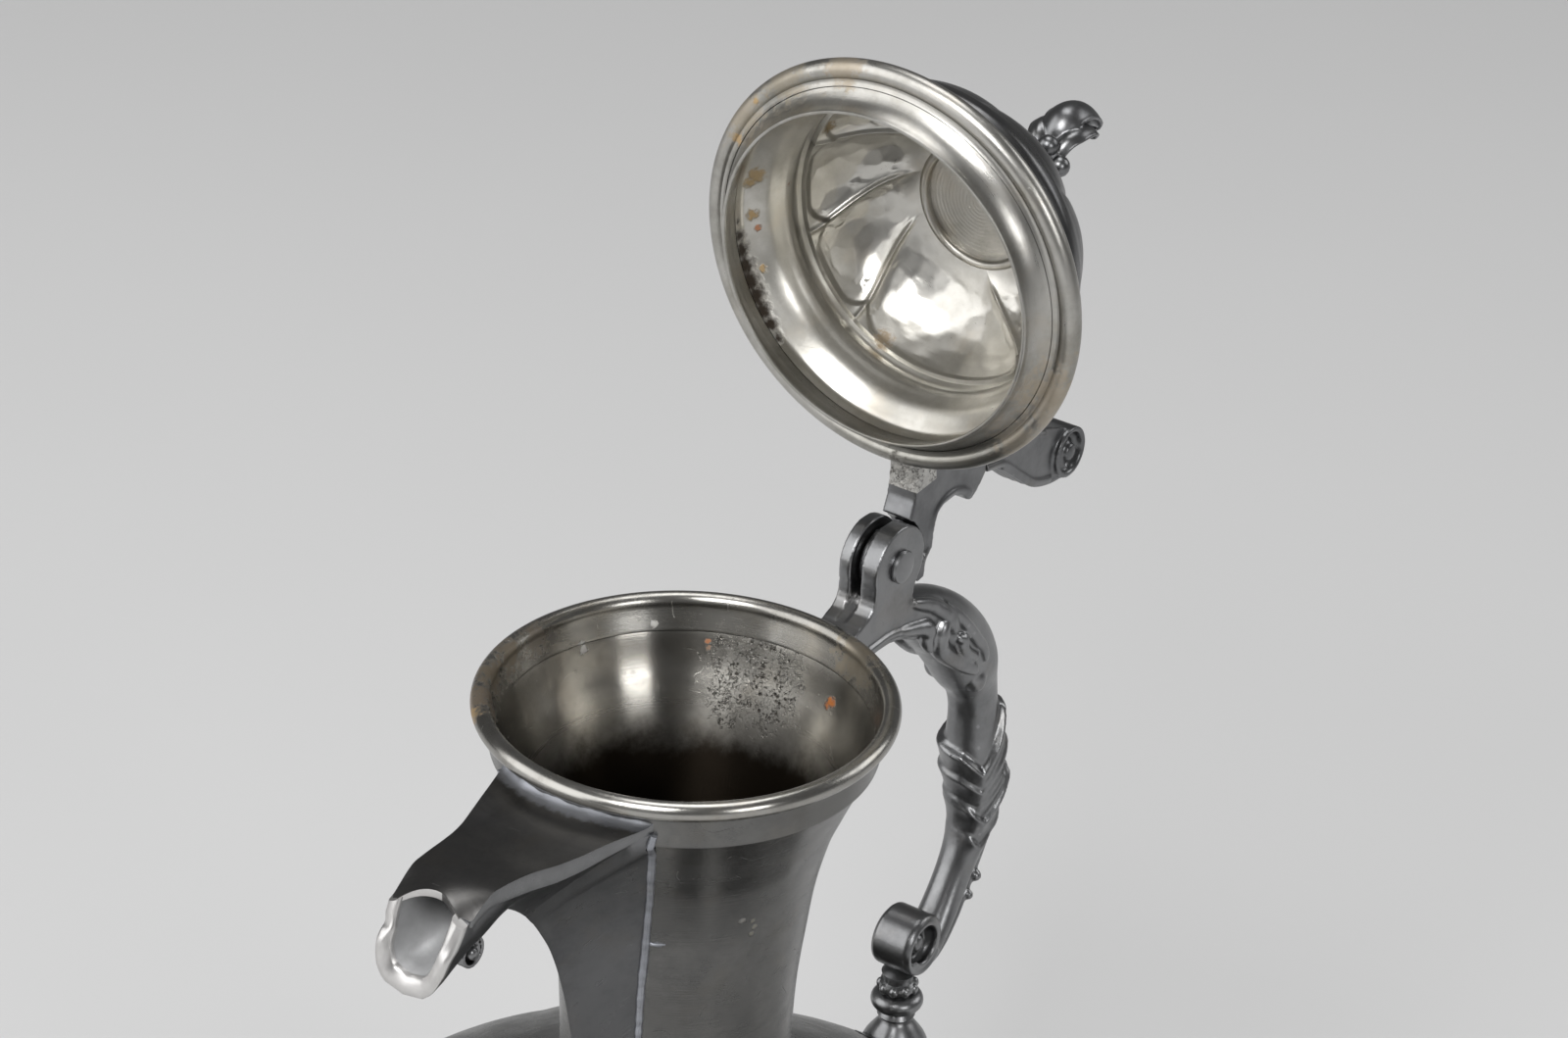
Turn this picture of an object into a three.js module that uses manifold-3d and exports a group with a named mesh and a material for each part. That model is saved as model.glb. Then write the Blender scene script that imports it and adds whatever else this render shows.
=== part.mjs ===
// Pewter wine jug with a hinged domed lid, a covered beak spout and a cast scroll handle.
// Millimetres, +Z up, origin on the table under the middle of the body.
// The spout points along -X, the handle along +X, and the lid stands open.

import * as THREE from 'three';
import { mergeVertices } from 'three/addons/utils/BufferGeometryUtils.js';
import Module from 'manifold-3d';

const wasm = await Module();
wasm.setup();

// Driving dimensions

const MOUTH_Z = 222;
const MOUTH_BEAD_R = 33.4;
const MOUTH_BEAD = 1.6;
const GAP = 0.3;
const SHEET = 1.5;

const BELLY_R = 78.5;
const BELLY_SEAM_Z = -136;
const BELLY_LOBES = 9;
const BELLY_SWIRL = 62;
const BELLY_CREASE = 1.5;
const FOOT_R = 49.5;

const HINGE_X = 55.92;
const HINGE_Z = 2.58;
const OPEN_ANGLE = 84.84;
const EAR_R = 7.4;
const TONGUE_R = 5.6;
const EAR_NEAR = 4;
const EAR_FAR = -4;
const SLOT_NEAR = 0.6;
const SLOT_FAR = -1.6;
const PIN_R = 1.6;
const PIN_HEAD_R = 3;

const LID_BEAD_R = 35.15;
const LID_BEAD_Z = 5.1;
const LID_BEAD = 1.7;
const LID_RIBS = [39, 81, 122, 164, 206, 247, 285, 322];
const LID_SWIRL = 30;
const LID_CREASE = 1.1;
const CROWN_HOLE_R = 11.2;

const ARM_HALF = 3;
const VOLUTE_X = 72;
const VOLUTE_Z = -84.5;
const VOLUTE_R = 6;
const POST_X = 70;

const ROUND_STEPS = 36;
const SMALL_STEPS = 20;
const DEG = Math.PI / 180;

// Finishes

const pewter = (name, color, roughness) => {
  const finish = new THREE.MeshStandardMaterial({ color, roughness, metalness: 1 });
  finish.name = name;
  return finish;
};
const FINISH = {
  body: () => pewter('body pewter', 0x74746f, 0.38),
  rim: () => pewter('rubbed rim', 0x9b978c, 0.3),
  lid: () => pewter('pale lid pewter', 0xa9a498, 0.32),
  cast: () => pewter('dark cast pewter', 0x5f6265, 0.36),
};

// Mesh tools

/** Keeps positions only, welds them and drops flat triangles. */
function weld(geometry) {
  const bare = geometry.clone();
  bare.deleteAttribute('normal');
  bare.deleteAttribute('uv');
  const welded = mergeVertices(bare, 1e-4);
  const from = welded.index.array;
  const kept = [];
  for (let i = 0; i < from.length; i += 3) {
    const [a, b, c] = [from[i], from[i + 1], from[i + 2]];
    if (a !== b && b !== c && c !== a) kept.push(a, b, c);
  }
  welded.setIndex(kept);
  return welded;
}

/** Turns the faces outwards when the closed mesh is inside out. */
function faceOut(geometry) {
  const at = geometry.attributes.position;
  const index = Array.from(geometry.index.array);
  const [a, b, c] = [new THREE.Vector3(), new THREE.Vector3(), new THREE.Vector3()];
  let volume = 0;
  for (let i = 0; i < index.length; i += 3) {
    a.fromBufferAttribute(at, index[i]);
    b.fromBufferAttribute(at, index[i + 1]);
    c.fromBufferAttribute(at, index[i + 2]);
    volume += a.dot(b.cross(c));
  }
  if (volume < 0) index.reverse();
  geometry.setIndex(index);
  return geometry;
}

function toSolid(geometry) {
  const welded = faceOut(weld(geometry));
  return new wasm.Manifold(new wasm.Mesh({
    numProp: 3,
    vertProperties: Float32Array.from(welded.attributes.position.array),
    triVerts: Uint32Array.from(welded.index.array),
  }));
}

function fromSolid(solid) {
  const mesh = solid.getMesh();
  const geometry = new THREE.BufferGeometry();
  geometry.setAttribute('position', new THREE.BufferAttribute(Float32Array.from(mesh.vertProperties), 3));
  geometry.setIndex(Array.from(mesh.triVerts));
  return geometry;
}

const join = (...parts) => parts.map(toSolid).reduce((all, next) => all.add(next));
const cut = (whole, ...tools) => tools.map(toSolid).reduce((left, tool) => left.subtract(tool), whole);

/** Revolves [radius, height] points about Z; the outline runs up its outer side. */
function turned(outline, steps = ROUND_STEPS) {
  const closes = outline[0][0] > 0 || outline.at(-1)[0] > 0;
  const points = closes ? [...outline, outline[0]] : outline;
  const lathe = new THREE.LatheGeometry(points.map(([r, z]) => new THREE.Vector2(r, z)), steps);
  return weld(lathe.rotateX(Math.PI / 2));
}

/** Skins closed rings of points that follow one another, and closes both ends. */
function loft(rings) {
  const n = rings[0].length;
  const index = [];
  for (let i = 0; i < rings.length - 1; i += 1) {
    for (let j = 0; j < n; j += 1) {
      const [a, b] = [i * n + j, i * n + (j + 1) % n];
      index.push(a, b, b + n, a, b + n, a + n);
    }
  }
  const last = (rings.length - 1) * n;
  for (let k = 0; k < n / 2 - 1; k += 1) {
    const [a, b, c, d] = [k, k + 1, n - 2 - k, n - 1 - k];
    index.push(a, c, b, a, d, c);
    index.push(last + a, last + b, last + c, last + a, last + c, last + d);
  }
  const geometry = new THREE.BufferGeometry().setFromPoints(rings.flat());
  geometry.setIndex(index);
  return faceOut(weld(geometry));
}

/** A plate with its outline in the X-Z plane, between two distances towards -Y. */
function plate(outline, from, to) {
  const shape = outline instanceof THREE.Shape ? outline : new THREE.Shape(outline);
  const body = new THREE.ExtrudeGeometry(shape, { depth: to - from, bevelEnabled: false, curveSegments: 6 });
  const stand = new THREE.Matrix4().makeBasis(
    new THREE.Vector3(1, 0, 0),
    new THREE.Vector3(0, 0, 1),
    new THREE.Vector3(0, -1, 0),
  ).setPosition(0, -from, 0);
  return weld(body.applyMatrix4(stand));
}

/** A round bar across the jug, along Y, centred on x and z. */
function crossBar(x, z, radius, from, to, steps = SMALL_STEPS) {
  const bar = new THREE.CylinderGeometry(radius, radius, to - from, steps);
  return weld(bar.translate(x, -(from + to) / 2, z));
}

const flat = (points) => points.map(([x, z]) => new THREE.Vector2(x, z));
const mix = (a, b, t) => a + (b - a) * t;
const clamp01 = (t) => Math.min(1, Math.max(0, t));

/** Points of an arc, in degrees, for an outline. */
function arc(cx, cy, radius, from, to, count) {
  return Array.from({ length: count + 1 }, (_, i) => {
    const a = mix(from, to, i / count) * DEG;
    return [cx + radius * Math.cos(a), cy + radius * Math.sin(a)];
  });
}

/** Reads a smooth curve through [at, value...] rows, at a given place. */
function along(rows) {
  return (at) => {
    const up = rows[0][0] < rows.at(-1)[0];
    const list = up ? rows : [...rows].reverse();
    const inside = Math.min(Math.max(at, list[0][0]), list.at(-1)[0]);
    const i = Math.max(0, Math.min(list.findIndex((row) => row[0] >= inside) - 1, list.length - 2));
    const t = (inside - list[i][0]) / (list[i + 1][0] - list[i][0]);
    const before = list[Math.max(i - 1, 0)];
    const after = list[Math.min(i + 2, list.length - 1)];
    return list[i].slice(1).map((value, k) => {
      const [y0, y1] = [value, list[i + 1][k + 1]];
      const span = list[i + 1][0] - list[i][0];
      const m0 = ((y1 - before[k + 1]) / (list[i + 1][0] - before[0])) * span;
      const m1 = ((after[k + 1] - y0) / (after[0] - list[i][0])) * span;
      const [t2, t3] = [t * t, t * t * t];
      return (2 * t3 - 3 * t2 + 1) * y0 + (t3 - 2 * t2 + t) * m0 + (3 * t2 - 2 * t3) * y1 + (t3 - t2) * m1;
    });
  };
}

// Neck and rim: heights from here on are counted from the plane of the mouth bead

const NECK = [
  [-8.1, 31.1], [-12.6, 28.9], [-16.8, 27.1], [-22, 25.05], [-31.5, 22.7], [-41.6, 21.3],
  [-51.5, 20.2], [-61, 19.75], [-69, 19.7], [-75, 20.3], [-80, 21.9], [-84, 24.4],
];
const COLLAR_OUTER_R = 32;
const COLLAR_INNER_R = 30.8;
const COLLAR_BOTTOM = -7.8;
const neckRadius = (z) => (z > COLLAR_BOTTOM - 0.8 ? COLLAR_OUTER_R + 0.2 : along(NECK)(z)[0]);

/** The flaring throat, its top turned down to slip inside the rim collar. */
function neck() {
  const lap = COLLAR_INNER_R - GAP;
  const outer = [...NECK].reverse().map(([z, r]) => [r, z]);
  const inner = NECK.slice(1).map(([z, r]) => [r - SHEET, z]);
  const wall = turned([...outer, [lap, COLLAR_BOTTOM - GAP], [lap, -4.6], [lap - 0.8, -4.6], ...inner]);
  const pouringHole = new THREE.Shape();
  pouringHole.moveTo(-8.5, -12);
  pouringHole.quadraticCurveTo(-5, -32, -2.8, -44);
  pouringHole.quadraticCurveTo(0, -48, 2.8, -44);
  pouringHole.quadraticCurveTo(5, -32, 8.5, -12);
  pouringHole.quadraticCurveTo(0, -9.5, -8.5, -12);
  const punch = new THREE.ExtrudeGeometry(pouringHole, { depth: 26, bevelEnabled: false, curveSegments: 4 });
  punch.applyMatrix4(new THREE.Matrix4().makeBasis(
    new THREE.Vector3(0, 1, 0),
    new THREE.Vector3(0, 0, 1),
    new THREE.Vector3(1, 0, 0),
  ));
  return fromSolid(cut(toSolid(wall), punch.translate(-38, 0, 0)));
}

/** The collar round the top of the neck, with the half-round bead of the mouth on it. */
function rimCollar() {
  return turned([
    [COLLAR_INNER_R, COLLAR_BOTTOM], [COLLAR_OUTER_R, COLLAR_BOTTOM],
    [COLLAR_OUTER_R + 0.2, -3], [33, -1.7],
    ...arc(MOUTH_BEAD_R, 0, MOUTH_BEAD, -60, 180, 7),
    [31.2, -1.4], [COLLAR_INNER_R, -3],
  ]);
}

// Belly: a wide swirled bowl in two halves, soldered at its widest line

const SHOULDER = [
  [-84.3, 23.4], [-85, 26.4], [-87, 30.6], [-90.6, 38.5], [-95, 49], [-100.4, 60], [-106.4, 68.4],
  [-114, 74.4], [-124, 77.6], [-135.85, BELLY_R],
];
const BOWL = [
  [-136.15, BELLY_R], [-146, 77.4], [-157, 73.4], [-169, 66], [-180, 56.6], [-190, 45.5],
  [-197, 35], [-200.7, 28],
];
const FOOT_TOP = -201;
const SWIRL_TOP = -88;
const SWIRL_BOTTOM = -197;

/** Evenly parted lobes: the angle of each column and how far it swells between creases. */
function lobeColumns(ribAngles, degreesPerStep) {
  return ribAngles.flatMap((start, i) => {
    const end = i + 1 < ribAngles.length ? ribAngles[i + 1] : ribAngles[0] + 360;
    const steps = Math.round((end - start) / degreesPerStep);
    return Array.from({ length: steps }, (_, k) => ({
      angle: mix(start, end, k / steps),
      swell: Math.sqrt(Math.sin((Math.PI * k) / steps)),
    }));
  });
}

/** Revolves an outline whose points carry a crease depth and a twist, on uneven columns. */
function lobed(outline, columns) {
  const closes = outline[0].r > 0 || outline.at(-1).r > 0;
  const points = closes ? [...outline, outline[0]] : outline;
  const lathe = new THREE.LatheGeometry(points.map(({ r, z }) => new THREE.Vector2(r, z)), columns.length);
  const at = lathe.attributes.position;
  for (let i = 0; i <= columns.length; i += 1) {
    const { angle, swell } = columns[i % columns.length];
    points.forEach(({ r, z, depth = 0, twist = 0 }, j) => {
      const radius = Math.max(0, r - depth * (1 - swell));
      const turn = (angle + twist) * DEG;
      at.setXYZ(i * points.length + j, radius * Math.cos(turn), radius * Math.sin(turn), z);
    });
  }
  return faceOut(weld(lathe));
}

/** Crease depth and twist of the belly's swirl at a height. */
function bellySwirl(z) {
  const t = clamp01((z - SWIRL_BOTTOM) / (SWIRL_TOP - SWIRL_BOTTOM));
  return { depth: BELLY_CREASE * Math.sqrt(Math.sin(Math.PI * t)), twist: BELLY_SWIRL * t * t * (3 - 2 * t) };
}

/** The wall outline of a belly half, a sheet's thickness inside its outer line. */
function bellyWall(rows, grow = 0) {
  return rows.map(([z, r], i) => {
    const [zb, rb] = rows[Math.max(i - 1, 0)];
    const [za, ra] = rows[Math.min(i + 1, rows.length - 1)];
    const length = Math.hypot(za - zb, ra - rb);
    const [nr, nz] = [(zb - za) / length, -(rb - ra) / length];
    return { r: r + nr * grow, z: z + nz * grow, ...bellySwirl(z) };
  });
}

const bellyColumns = lobeColumns(Array.from({ length: BELLY_LOBES }, (_, i) => (i * 360) / BELLY_LOBES), 10);

function bellyUpper() {
  const outer = bellyWall(SHOULDER);
  const inner = bellyWall(SHOULDER, -SHEET);
  inner.at(-1).z = outer.at(-1).z;
  return lobed([...outer.reverse(), ...inner], bellyColumns);
}

function bellyLower() {
  const outer = bellyWall(BOWL);
  const inner = bellyWall(BOWL, -SHEET);
  inner[0].z = outer[0].z;
  const floor = outer.at(-1).z;
  return lobed([{ r: 0, z: floor }, ...outer.reverse(), ...inner, { r: 0, z: floor + SHEET }], bellyColumns);
}

// Foot

const down = (z) => z - MOUTH_Z;

function footCollar() {
  return turned([
    [24, FOOT_TOP - 4.2], [29.5, FOOT_TOP - 4.2], [31.4, FOOT_TOP - 3.4], [32, FOOT_TOP - 2.1],
    [31.2, FOOT_TOP - 0.9], [29, FOOT_TOP], [24, FOOT_TOP],
  ]);
}

function foot() {
  return turned([
    [44.5, down(0)], [FOOT_R - 0.4, down(0)], [FOOT_R, down(1)], [FOOT_R, down(3.2)], [47, down(4.4)],
    [45.2, down(7.6)], [41.6, down(10.2)], [36.6, down(12.2)], [32.2, down(14)], [30, down(16.5)],
    [26, down(16.5)], [27.6, down(12.6)], [35.8, down(10)], [44.5, down(4)],
  ]);
}

function baseDisc() {
  return turned([[0, down(0)], [44.2, down(0)], [44.2, down(1.6)], [0, down(1.6)]]);
}

// Spout: a covered beak whose side walls run from the neck seams and the cover's edge to a keel

const TIP_X = -64.2;
const COVER_END_X = -63.2;
const COVER_EDGE = [
  [-28.8, 15.3], [-33, 13.3], [-36, 12.2], [-39, 11.3], [-42, 10.2], [-46.5, 8.9], [-50, 8.4],
  [-56, 7.8], [-62, 7.5], [TIP_X, 7.4],
];
const coverHalf = (x) => along(COVER_EDGE)(x)[0];
const COVER_HEIGHT = [[-28, -3.4], [-50, -4.1], [-58, -4.8], [-62, -5.3], [TIP_X, -6]];
const coverTop = (x) => along(COVER_HEIGHT)(x)[0];
const COVER_THICK = 2.1;

// Each station: where the wall starts (a height on the neck seam, or a place along the
// cover's edge), the keel point below it, how full the section is, and how far its line
// between the two is bowed forwards.
const SEAM = [
  { z: -80.5, half: 4.0, keel: [-25, -81.6], full: 0.25 },
  { z: -72, half: 4.9, keel: [-25.4, -72.6], full: 0.25 },
  { z: -62, half: 5.6, keel: [-26.9, -61.5], full: 0.22 },
  { z: -52.9, half: 6.2, keel: [-28.7, -51.5], full: 0.2 },
  { z: -44.7, half: 6.9, keel: [-30.4, -43.4], full: 0.18 },
  { z: -36, half: 8.0, keel: [-32.4, -36.4], full: 0.16 },
  { z: -27, half: 9.4, keel: [-34.9, -30], full: 0.14 },
  { z: -17.7, half: 11.5, keel: [-37.4, -25.6], full: 0.12 },
  { z: -10.2, half: 13.6, keel: [-39.2, -22.8], full: 0.12 },
  { z: -8.4, half: 14.1, keel: [-39.9, -22], full: 0.12 },
];
const EDGE = [
  { x: -28.9, keel: [-41.2, -20.3], full: 0.12 },
  { x: -34, keel: [-43.2, -18.4], full: 0.14 },
  { x: -39, keel: [-45.6, -16.6], full: 0.18 },
  { x: -43.5, keel: [-48, -15.3], full: 0.26 },
  { x: -48, keel: [-50.6, -14.7], full: 0.4 },
  { x: -52.8, keel: [-54.2, -15], full: 0.62 },
  { x: -57, keel: [-58.8, -16.8], full: 0.85, bow: 1.3 },
  { x: -60.7, keel: [-63.8, -19.6], full: 1, bow: 1.8 },
  { x: TIP_X, keel: [-68.4, -21.3], full: 1, bow: 2.2 },
];
const SECTION_STEPS = 6;

/** One side of a wall section, from its upper edge down to the keel. */
function wallSide(edge, keel, half, full, bow) {
  return Array.from({ length: SECTION_STEPS + 1 }, (_, k) => {
    const rise = 1 - (k / SECTION_STEPS) ** 0.8;
    const width = half * (full * Math.sqrt(1 - (1 - rise) ** 2) + (1 - full) * rise ** 1.35);
    return [mix(keel[0], edge[0], rise ** bow), width, mix(keel[1], edge[1], rise)];
  });
}

/** A whole section: the outer line from edge to edge, and the inner line back. */
function spoutSection({ edge, edgeIn, keel, half, halfIn, full, wall, bow = 1 }) {
  const lean = Math.hypot(edge[0] - keel[0], edge[1] - keel[1]);
  const keelIn = [
    keel[0] + ((edge[0] - keel[0]) / lean) * wall * 1.5,
    keel[1] + ((edge[1] - keel[1]) / lean) * wall * 1.5,
  ];
  const out = wallSide(edge, keel, half, full, bow);
  const inn = wallSide(edgeIn, keelIn, halfIn, Math.max(full, 0.2), bow);
  const both = (side) => [
    ...side.map(([x, y, z]) => new THREE.Vector3(x, -y, z)),
    ...side.slice(0, -1).reverse().map(([x, y, z]) => new THREE.Vector3(x, y, z)),
  ];
  return [...both(out), ...both(inn).reverse()];
}

function spoutBody() {
  const onNeck = (z, half) => [-Math.sqrt((neckRadius(z) + GAP + 0.1) ** 2 - half ** 2), z];
  const seam = SEAM.map(({ z, half, keel, full }) => spoutSection({
    edge: onNeck(z, half),
    edgeIn: onNeck(z, half - 1.6),
    keel,
    half,
    halfIn: half - 1.6,
    full,
    wall: 1.3,
  }));
  const edge = EDGE.map(({ x, keel, full, bow }, i) => {
    const wall = mix(1.3, 2.6, clamp01((-x - 54) / 12));
    const half = coverHalf(x) - 0.35;
    const top = coverTop(x) - mix(COVER_THICK, 1.2, clamp01((-x - 56) / 8)) - GAP;
    const inward = i === 0 ? -Math.sqrt((COLLAR_OUTER_R + 0.5) ** 2 - (half - 1.6) ** 2) : x;
    return spoutSection({
      edge: [x, top],
      edgeIn: [inward, top],
      keel,
      half,
      halfIn: half - Math.max(1.6, wall),
      full,
      wall,
      bow,
    });
  });
  return loft([...seam, ...edge]);
}

/** The plate over the spout, hollowed at the back to fit round the collar. */
function spoutCover() {
  const backR = COLLAR_OUTER_R + 0.65;
  const lengthSteps = 12;
  const across = [-1, -0.66, -0.33, 0, 0.33, 0.66, 1];
  const rings = Array.from({ length: lengthSteps + 1 }, (_, i) => {
    const s = i / lengthSteps;
    const sideX = mix(COVER_EDGE[0][0], COVER_END_X, s);
    const half = coverHalf(sideX);
    const place = (v, drop) => {
      const y = v * half;
      const back = -Math.sqrt(backR ** 2 - (v * COVER_EDGE[0][1]) ** 2);
      const x = mix(back, COVER_END_X, s);
      const crown = 0.9 * (1 - v * v) * clamp01(s * 4);
      return new THREE.Vector3(x, y, coverTop(sideX) + crown - drop);
    };
    const thick = mix(COVER_THICK, 1.2, clamp01((-sideX - 56) / 8));
    return [...across.map((v) => place(v, 0)), ...[...across].reverse().map((v) => place(v, thick))];
  });
  return loft(rings);
}

/** The small rolled scroll with a boss under the keel, close behind the tip. */
function spoutScroll() {
  const [x, z] = [-56.6, -18.8];
  const roll = crossBar(x, z, 2.3, -1.7, 1.7, 14);
  const boss = crossBar(x, z, 1.1, -2.4, 2.4, 10);
  return fromSolid(join(roll, boss));
}

// Handle: hinge bracket, scrolled knee, leafed grip and lower volute in one casting

const GRIP = [
  { x: 52, z: -8.6, deep: 3.2, wide: 3.6 },
  { x: 58.5, z: -9.6, deep: 3.9, wide: 4 },
  { x: 64.5, z: -11.6, deep: 4.5, wide: 4.3 },
  { x: 70.5, z: -14.9, deep: 5.6, wide: 5.2 },
  { x: 76.4, z: -19.4, deep: 6.4, wide: 5.9 },
  { x: 81.6, z: -25, deep: 6.7, wide: 6.2 },
  { x: 85.6, z: -31, deep: 6.4, wide: 5.9 },
  { x: 88.2, z: -36.2, deep: 5.2, wide: 4.9 },
  { x: 89.7, z: -41, deep: 4.7, wide: 4.6 },
  { x: 90.4, z: -46, deep: 5.1, wide: 5 },
  { x: 90.8, z: -49.4, deep: 6.5, wide: 6.3 },
  { x: 91.2, z: -53.5, deep: 6.9, wide: 6.5 },
  { x: 91.6, z: -57.4, deep: 5.8, wide: 5.5 },
  { x: 91.9, z: -60, deep: 6.4, wide: 6 },
  { x: 91.9, z: -64.5, deep: 6.3, wide: 5.8 },
  { x: 91.2, z: -69, deep: 5.7, wide: 5.2 },
  { x: 89.4, z: -74, deep: 4.9, wide: 4.6 },
  { x: 86.6, z: -79, deep: 4.3, wide: 4.2 },
  { x: 82.8, z: -84.2, deep: 3.8, wide: 4 },
  { x: 78.6, z: -88.2, deep: 3.2, wide: 4 },
  { x: 73.4, z: -90, deep: 2, wide: 3.9 },
];
const GRIP_SIDES = 12;

/** Sweeps an oval of changing size along a line of stations in the X-Z plane. */
function sweep(stations, sides) {
  return loft(stations.map(({ x, z, deep, wide }, i) => {
    const before = stations[Math.max(i - 1, 0)];
    const after = stations[Math.min(i + 1, stations.length - 1)];
    const length = Math.hypot(after.x - before.x, after.z - before.z);
    const [nx, nz] = [-(after.z - before.z) / length, (after.x - before.x) / length];
    return Array.from({ length: sides }, (_, k) => {
      const a = ((k + 0.5) / sides) * 2 * Math.PI;
      const [c, s] = [Math.cos(a), Math.sin(a)];
      const square = (v) => Math.sign(v) * Math.abs(v) ** 0.85;
      return new THREE.Vector3(x + nx * deep * square(c), wide * square(s), z + nz * deep * square(c));
    });
  }));
}

/** The ears and the web that carries them, with the slot and the pin's hole open. */
function bracketOutline() {
  const web = new THREE.Shape();
  web.moveTo(30, -4.2);
  web.lineTo(COLLAR_OUTER_R + 1, -4.2);
  web.quadraticCurveTo(41, -6.6, 46.5, -4.9);
  web.quadraticCurveTo(49, -3.8, HINGE_X - EAR_R * Math.cos(20 * DEG), HINGE_Z - EAR_R * Math.sin(20 * DEG));
  web.absarc(HINGE_X, HINGE_Z, EAR_R, 200 * DEG, -30 * DEG, true);
  web.quadraticCurveTo(60, -4, 61.5, -6.6);
  web.lineTo(66, -10);
  web.lineTo(60, -14);
  web.quadraticCurveTo(50, -11.4, 44, -13.4);
  web.quadraticCurveTo(36.5, -15, 28, -19);
  web.lineTo(28, -6);
  return web;
}

function handle() {
  const web = plate(bracketOutline(), EAR_FAR, EAR_NEAR);
  const grip = sweep(GRIP, GRIP_SIDES);
  const roll = turned([
    [0, -2.6], [1.7, -2.6], [1.7, -1.6], [3.2, -1.6], [3.8, -4], [VOLUTE_R, -4], [VOLUTE_R, 4],
    [3.8, 4], [3.2, 1.6], [1.7, 1.6], [1.7, 2.6], [0, 2.6],
  ], SMALL_STEPS).rotateX(Math.PI / 2).translate(VOLUTE_X, 0, VOLUTE_Z);
  const clearPlate = plate(flat([
    [HINGE_X - 12, -3.4], [HINGE_X + 4.2, -3.4], [HINGE_X + 12, 2], [HINGE_X + 12, 14], [HINGE_X - 12, 14],
  ]), SLOT_FAR, SLOT_NEAR);
  const bore = crossBar(HINGE_X, HINGE_Z, PIN_R + GAP, -6, 6);
  const seat = turned([
    [0, -30], ...[...NECK].reverse().filter(([z]) => z > -30).map(([z, r]) => [r + GAP, z]),
    [COLLAR_OUTER_R + GAP + 0.2, COLLAR_BOTTOM - GAP], [COLLAR_OUTER_R + GAP + 0.2, 4], [0, 4],
  ]);
  return fromSolid(cut(join(web, grip, roll), clearPlate, bore, seat));
}

/** The rivet through the ears, with a low round head on the near side. */
function hingePin() {
  const shank = crossBar(HINGE_X, HINGE_Z, PIN_R, EAR_FAR - 0.6, EAR_NEAR + 0.5);
  const head = crossBar(HINGE_X, HINGE_Z, PIN_HEAD_R, EAR_NEAR + GAP, EAR_NEAR + 1.1);
  const tail = crossBar(HINGE_X, HINGE_Z, PIN_HEAD_R - 0.6, EAR_FAR - 0.9, EAR_FAR - GAP);
  return fromSolid(join(shank, head, tail));
}

/** The turned post that stands the volute on the shoulder. */
function handlePost() {
  const post = turned([
    [0, -130], [7.6, -130], [7.5, -113], [6.9, -109], [5.7, -105.2], [3.7, -102.4], [2.7, -100.6],
    [3.5, -99.6], [3.1, -98.4], [4.3, -97.8], [4.7, -96.6], [4.3, -95.4], [3, -94.8], [3.6, -93.4],
    [2.8, -92.2], [2.8, -90.8], [0, -90.8],
  ], SMALL_STEPS).translate(POST_X, 0, 0);
  const skin = bellyWall(SHOULDER, GAP + 0.1);
  const under = lobed([{ r: 0, z: -140 }, { r: BELLY_R + 6, z: -140 }, { r: BELLY_R + 6, z: -132 },
    ...skin.reverse(), { r: 0, z: -84 }], bellyColumns);
  const volute = crossBar(VOLUTE_X, VOLUTE_Z, VOLUTE_R + GAP, -5, 5);
  const grip = sweep(GRIP.map((at) => ({ ...at, deep: at.deep + GAP, wide: at.wide + GAP })), GRIP_SIDES);
  return fromSolid(cut(toSolid(post), under, volute, grip));
}

// Lid, drawn shut, with heights from the plane of the mouth bead

/** The cast rim of the lid: its bead and the land that rests on the mouth. */
function lidRim() {
  return turned([
    [32.9, 1.95], [33.9, 1.95], [34.3, 3.5],
    ...arc(LID_BEAD_R, LID_BEAD_Z, LID_BEAD, -90, 90, 6),
    [34, 7.3], [32.9, 7.5],
  ]);
}

/** The collar that drops into the mouth and keeps the lid central. */
function lidSpigot() {
  return turned([
    [29.4, -0.9], [30.3, -0.9], [31.1, 0.8], [32.4, 2.6], [32.6, 4.5], [31.4, 4.5], [30.6, 2.2],
  ]);
}

const DOME_FOOT = [27.1, 19];
const DOME_CROWN = [12.2, 31.6];
const DOME_BULGE = 2.6;

/** Inner line of the dome from its ledge to its crown. */
function domeLine(t) {
  const length = Math.hypot(DOME_CROWN[0] - DOME_FOOT[0], DOME_CROWN[1] - DOME_FOOT[1]);
  const [nr, nz] = [(DOME_CROWN[1] - DOME_FOOT[1]) / length, (DOME_FOOT[0] - DOME_CROWN[0]) / length];
  const swell = DOME_BULGE * 4 * t * (1 - t);
  return [mix(DOME_FOOT[0], DOME_CROWN[0], t) + nr * swell, mix(DOME_FOOT[1], DOME_CROWN[1], t) + nz * swell];
}

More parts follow.
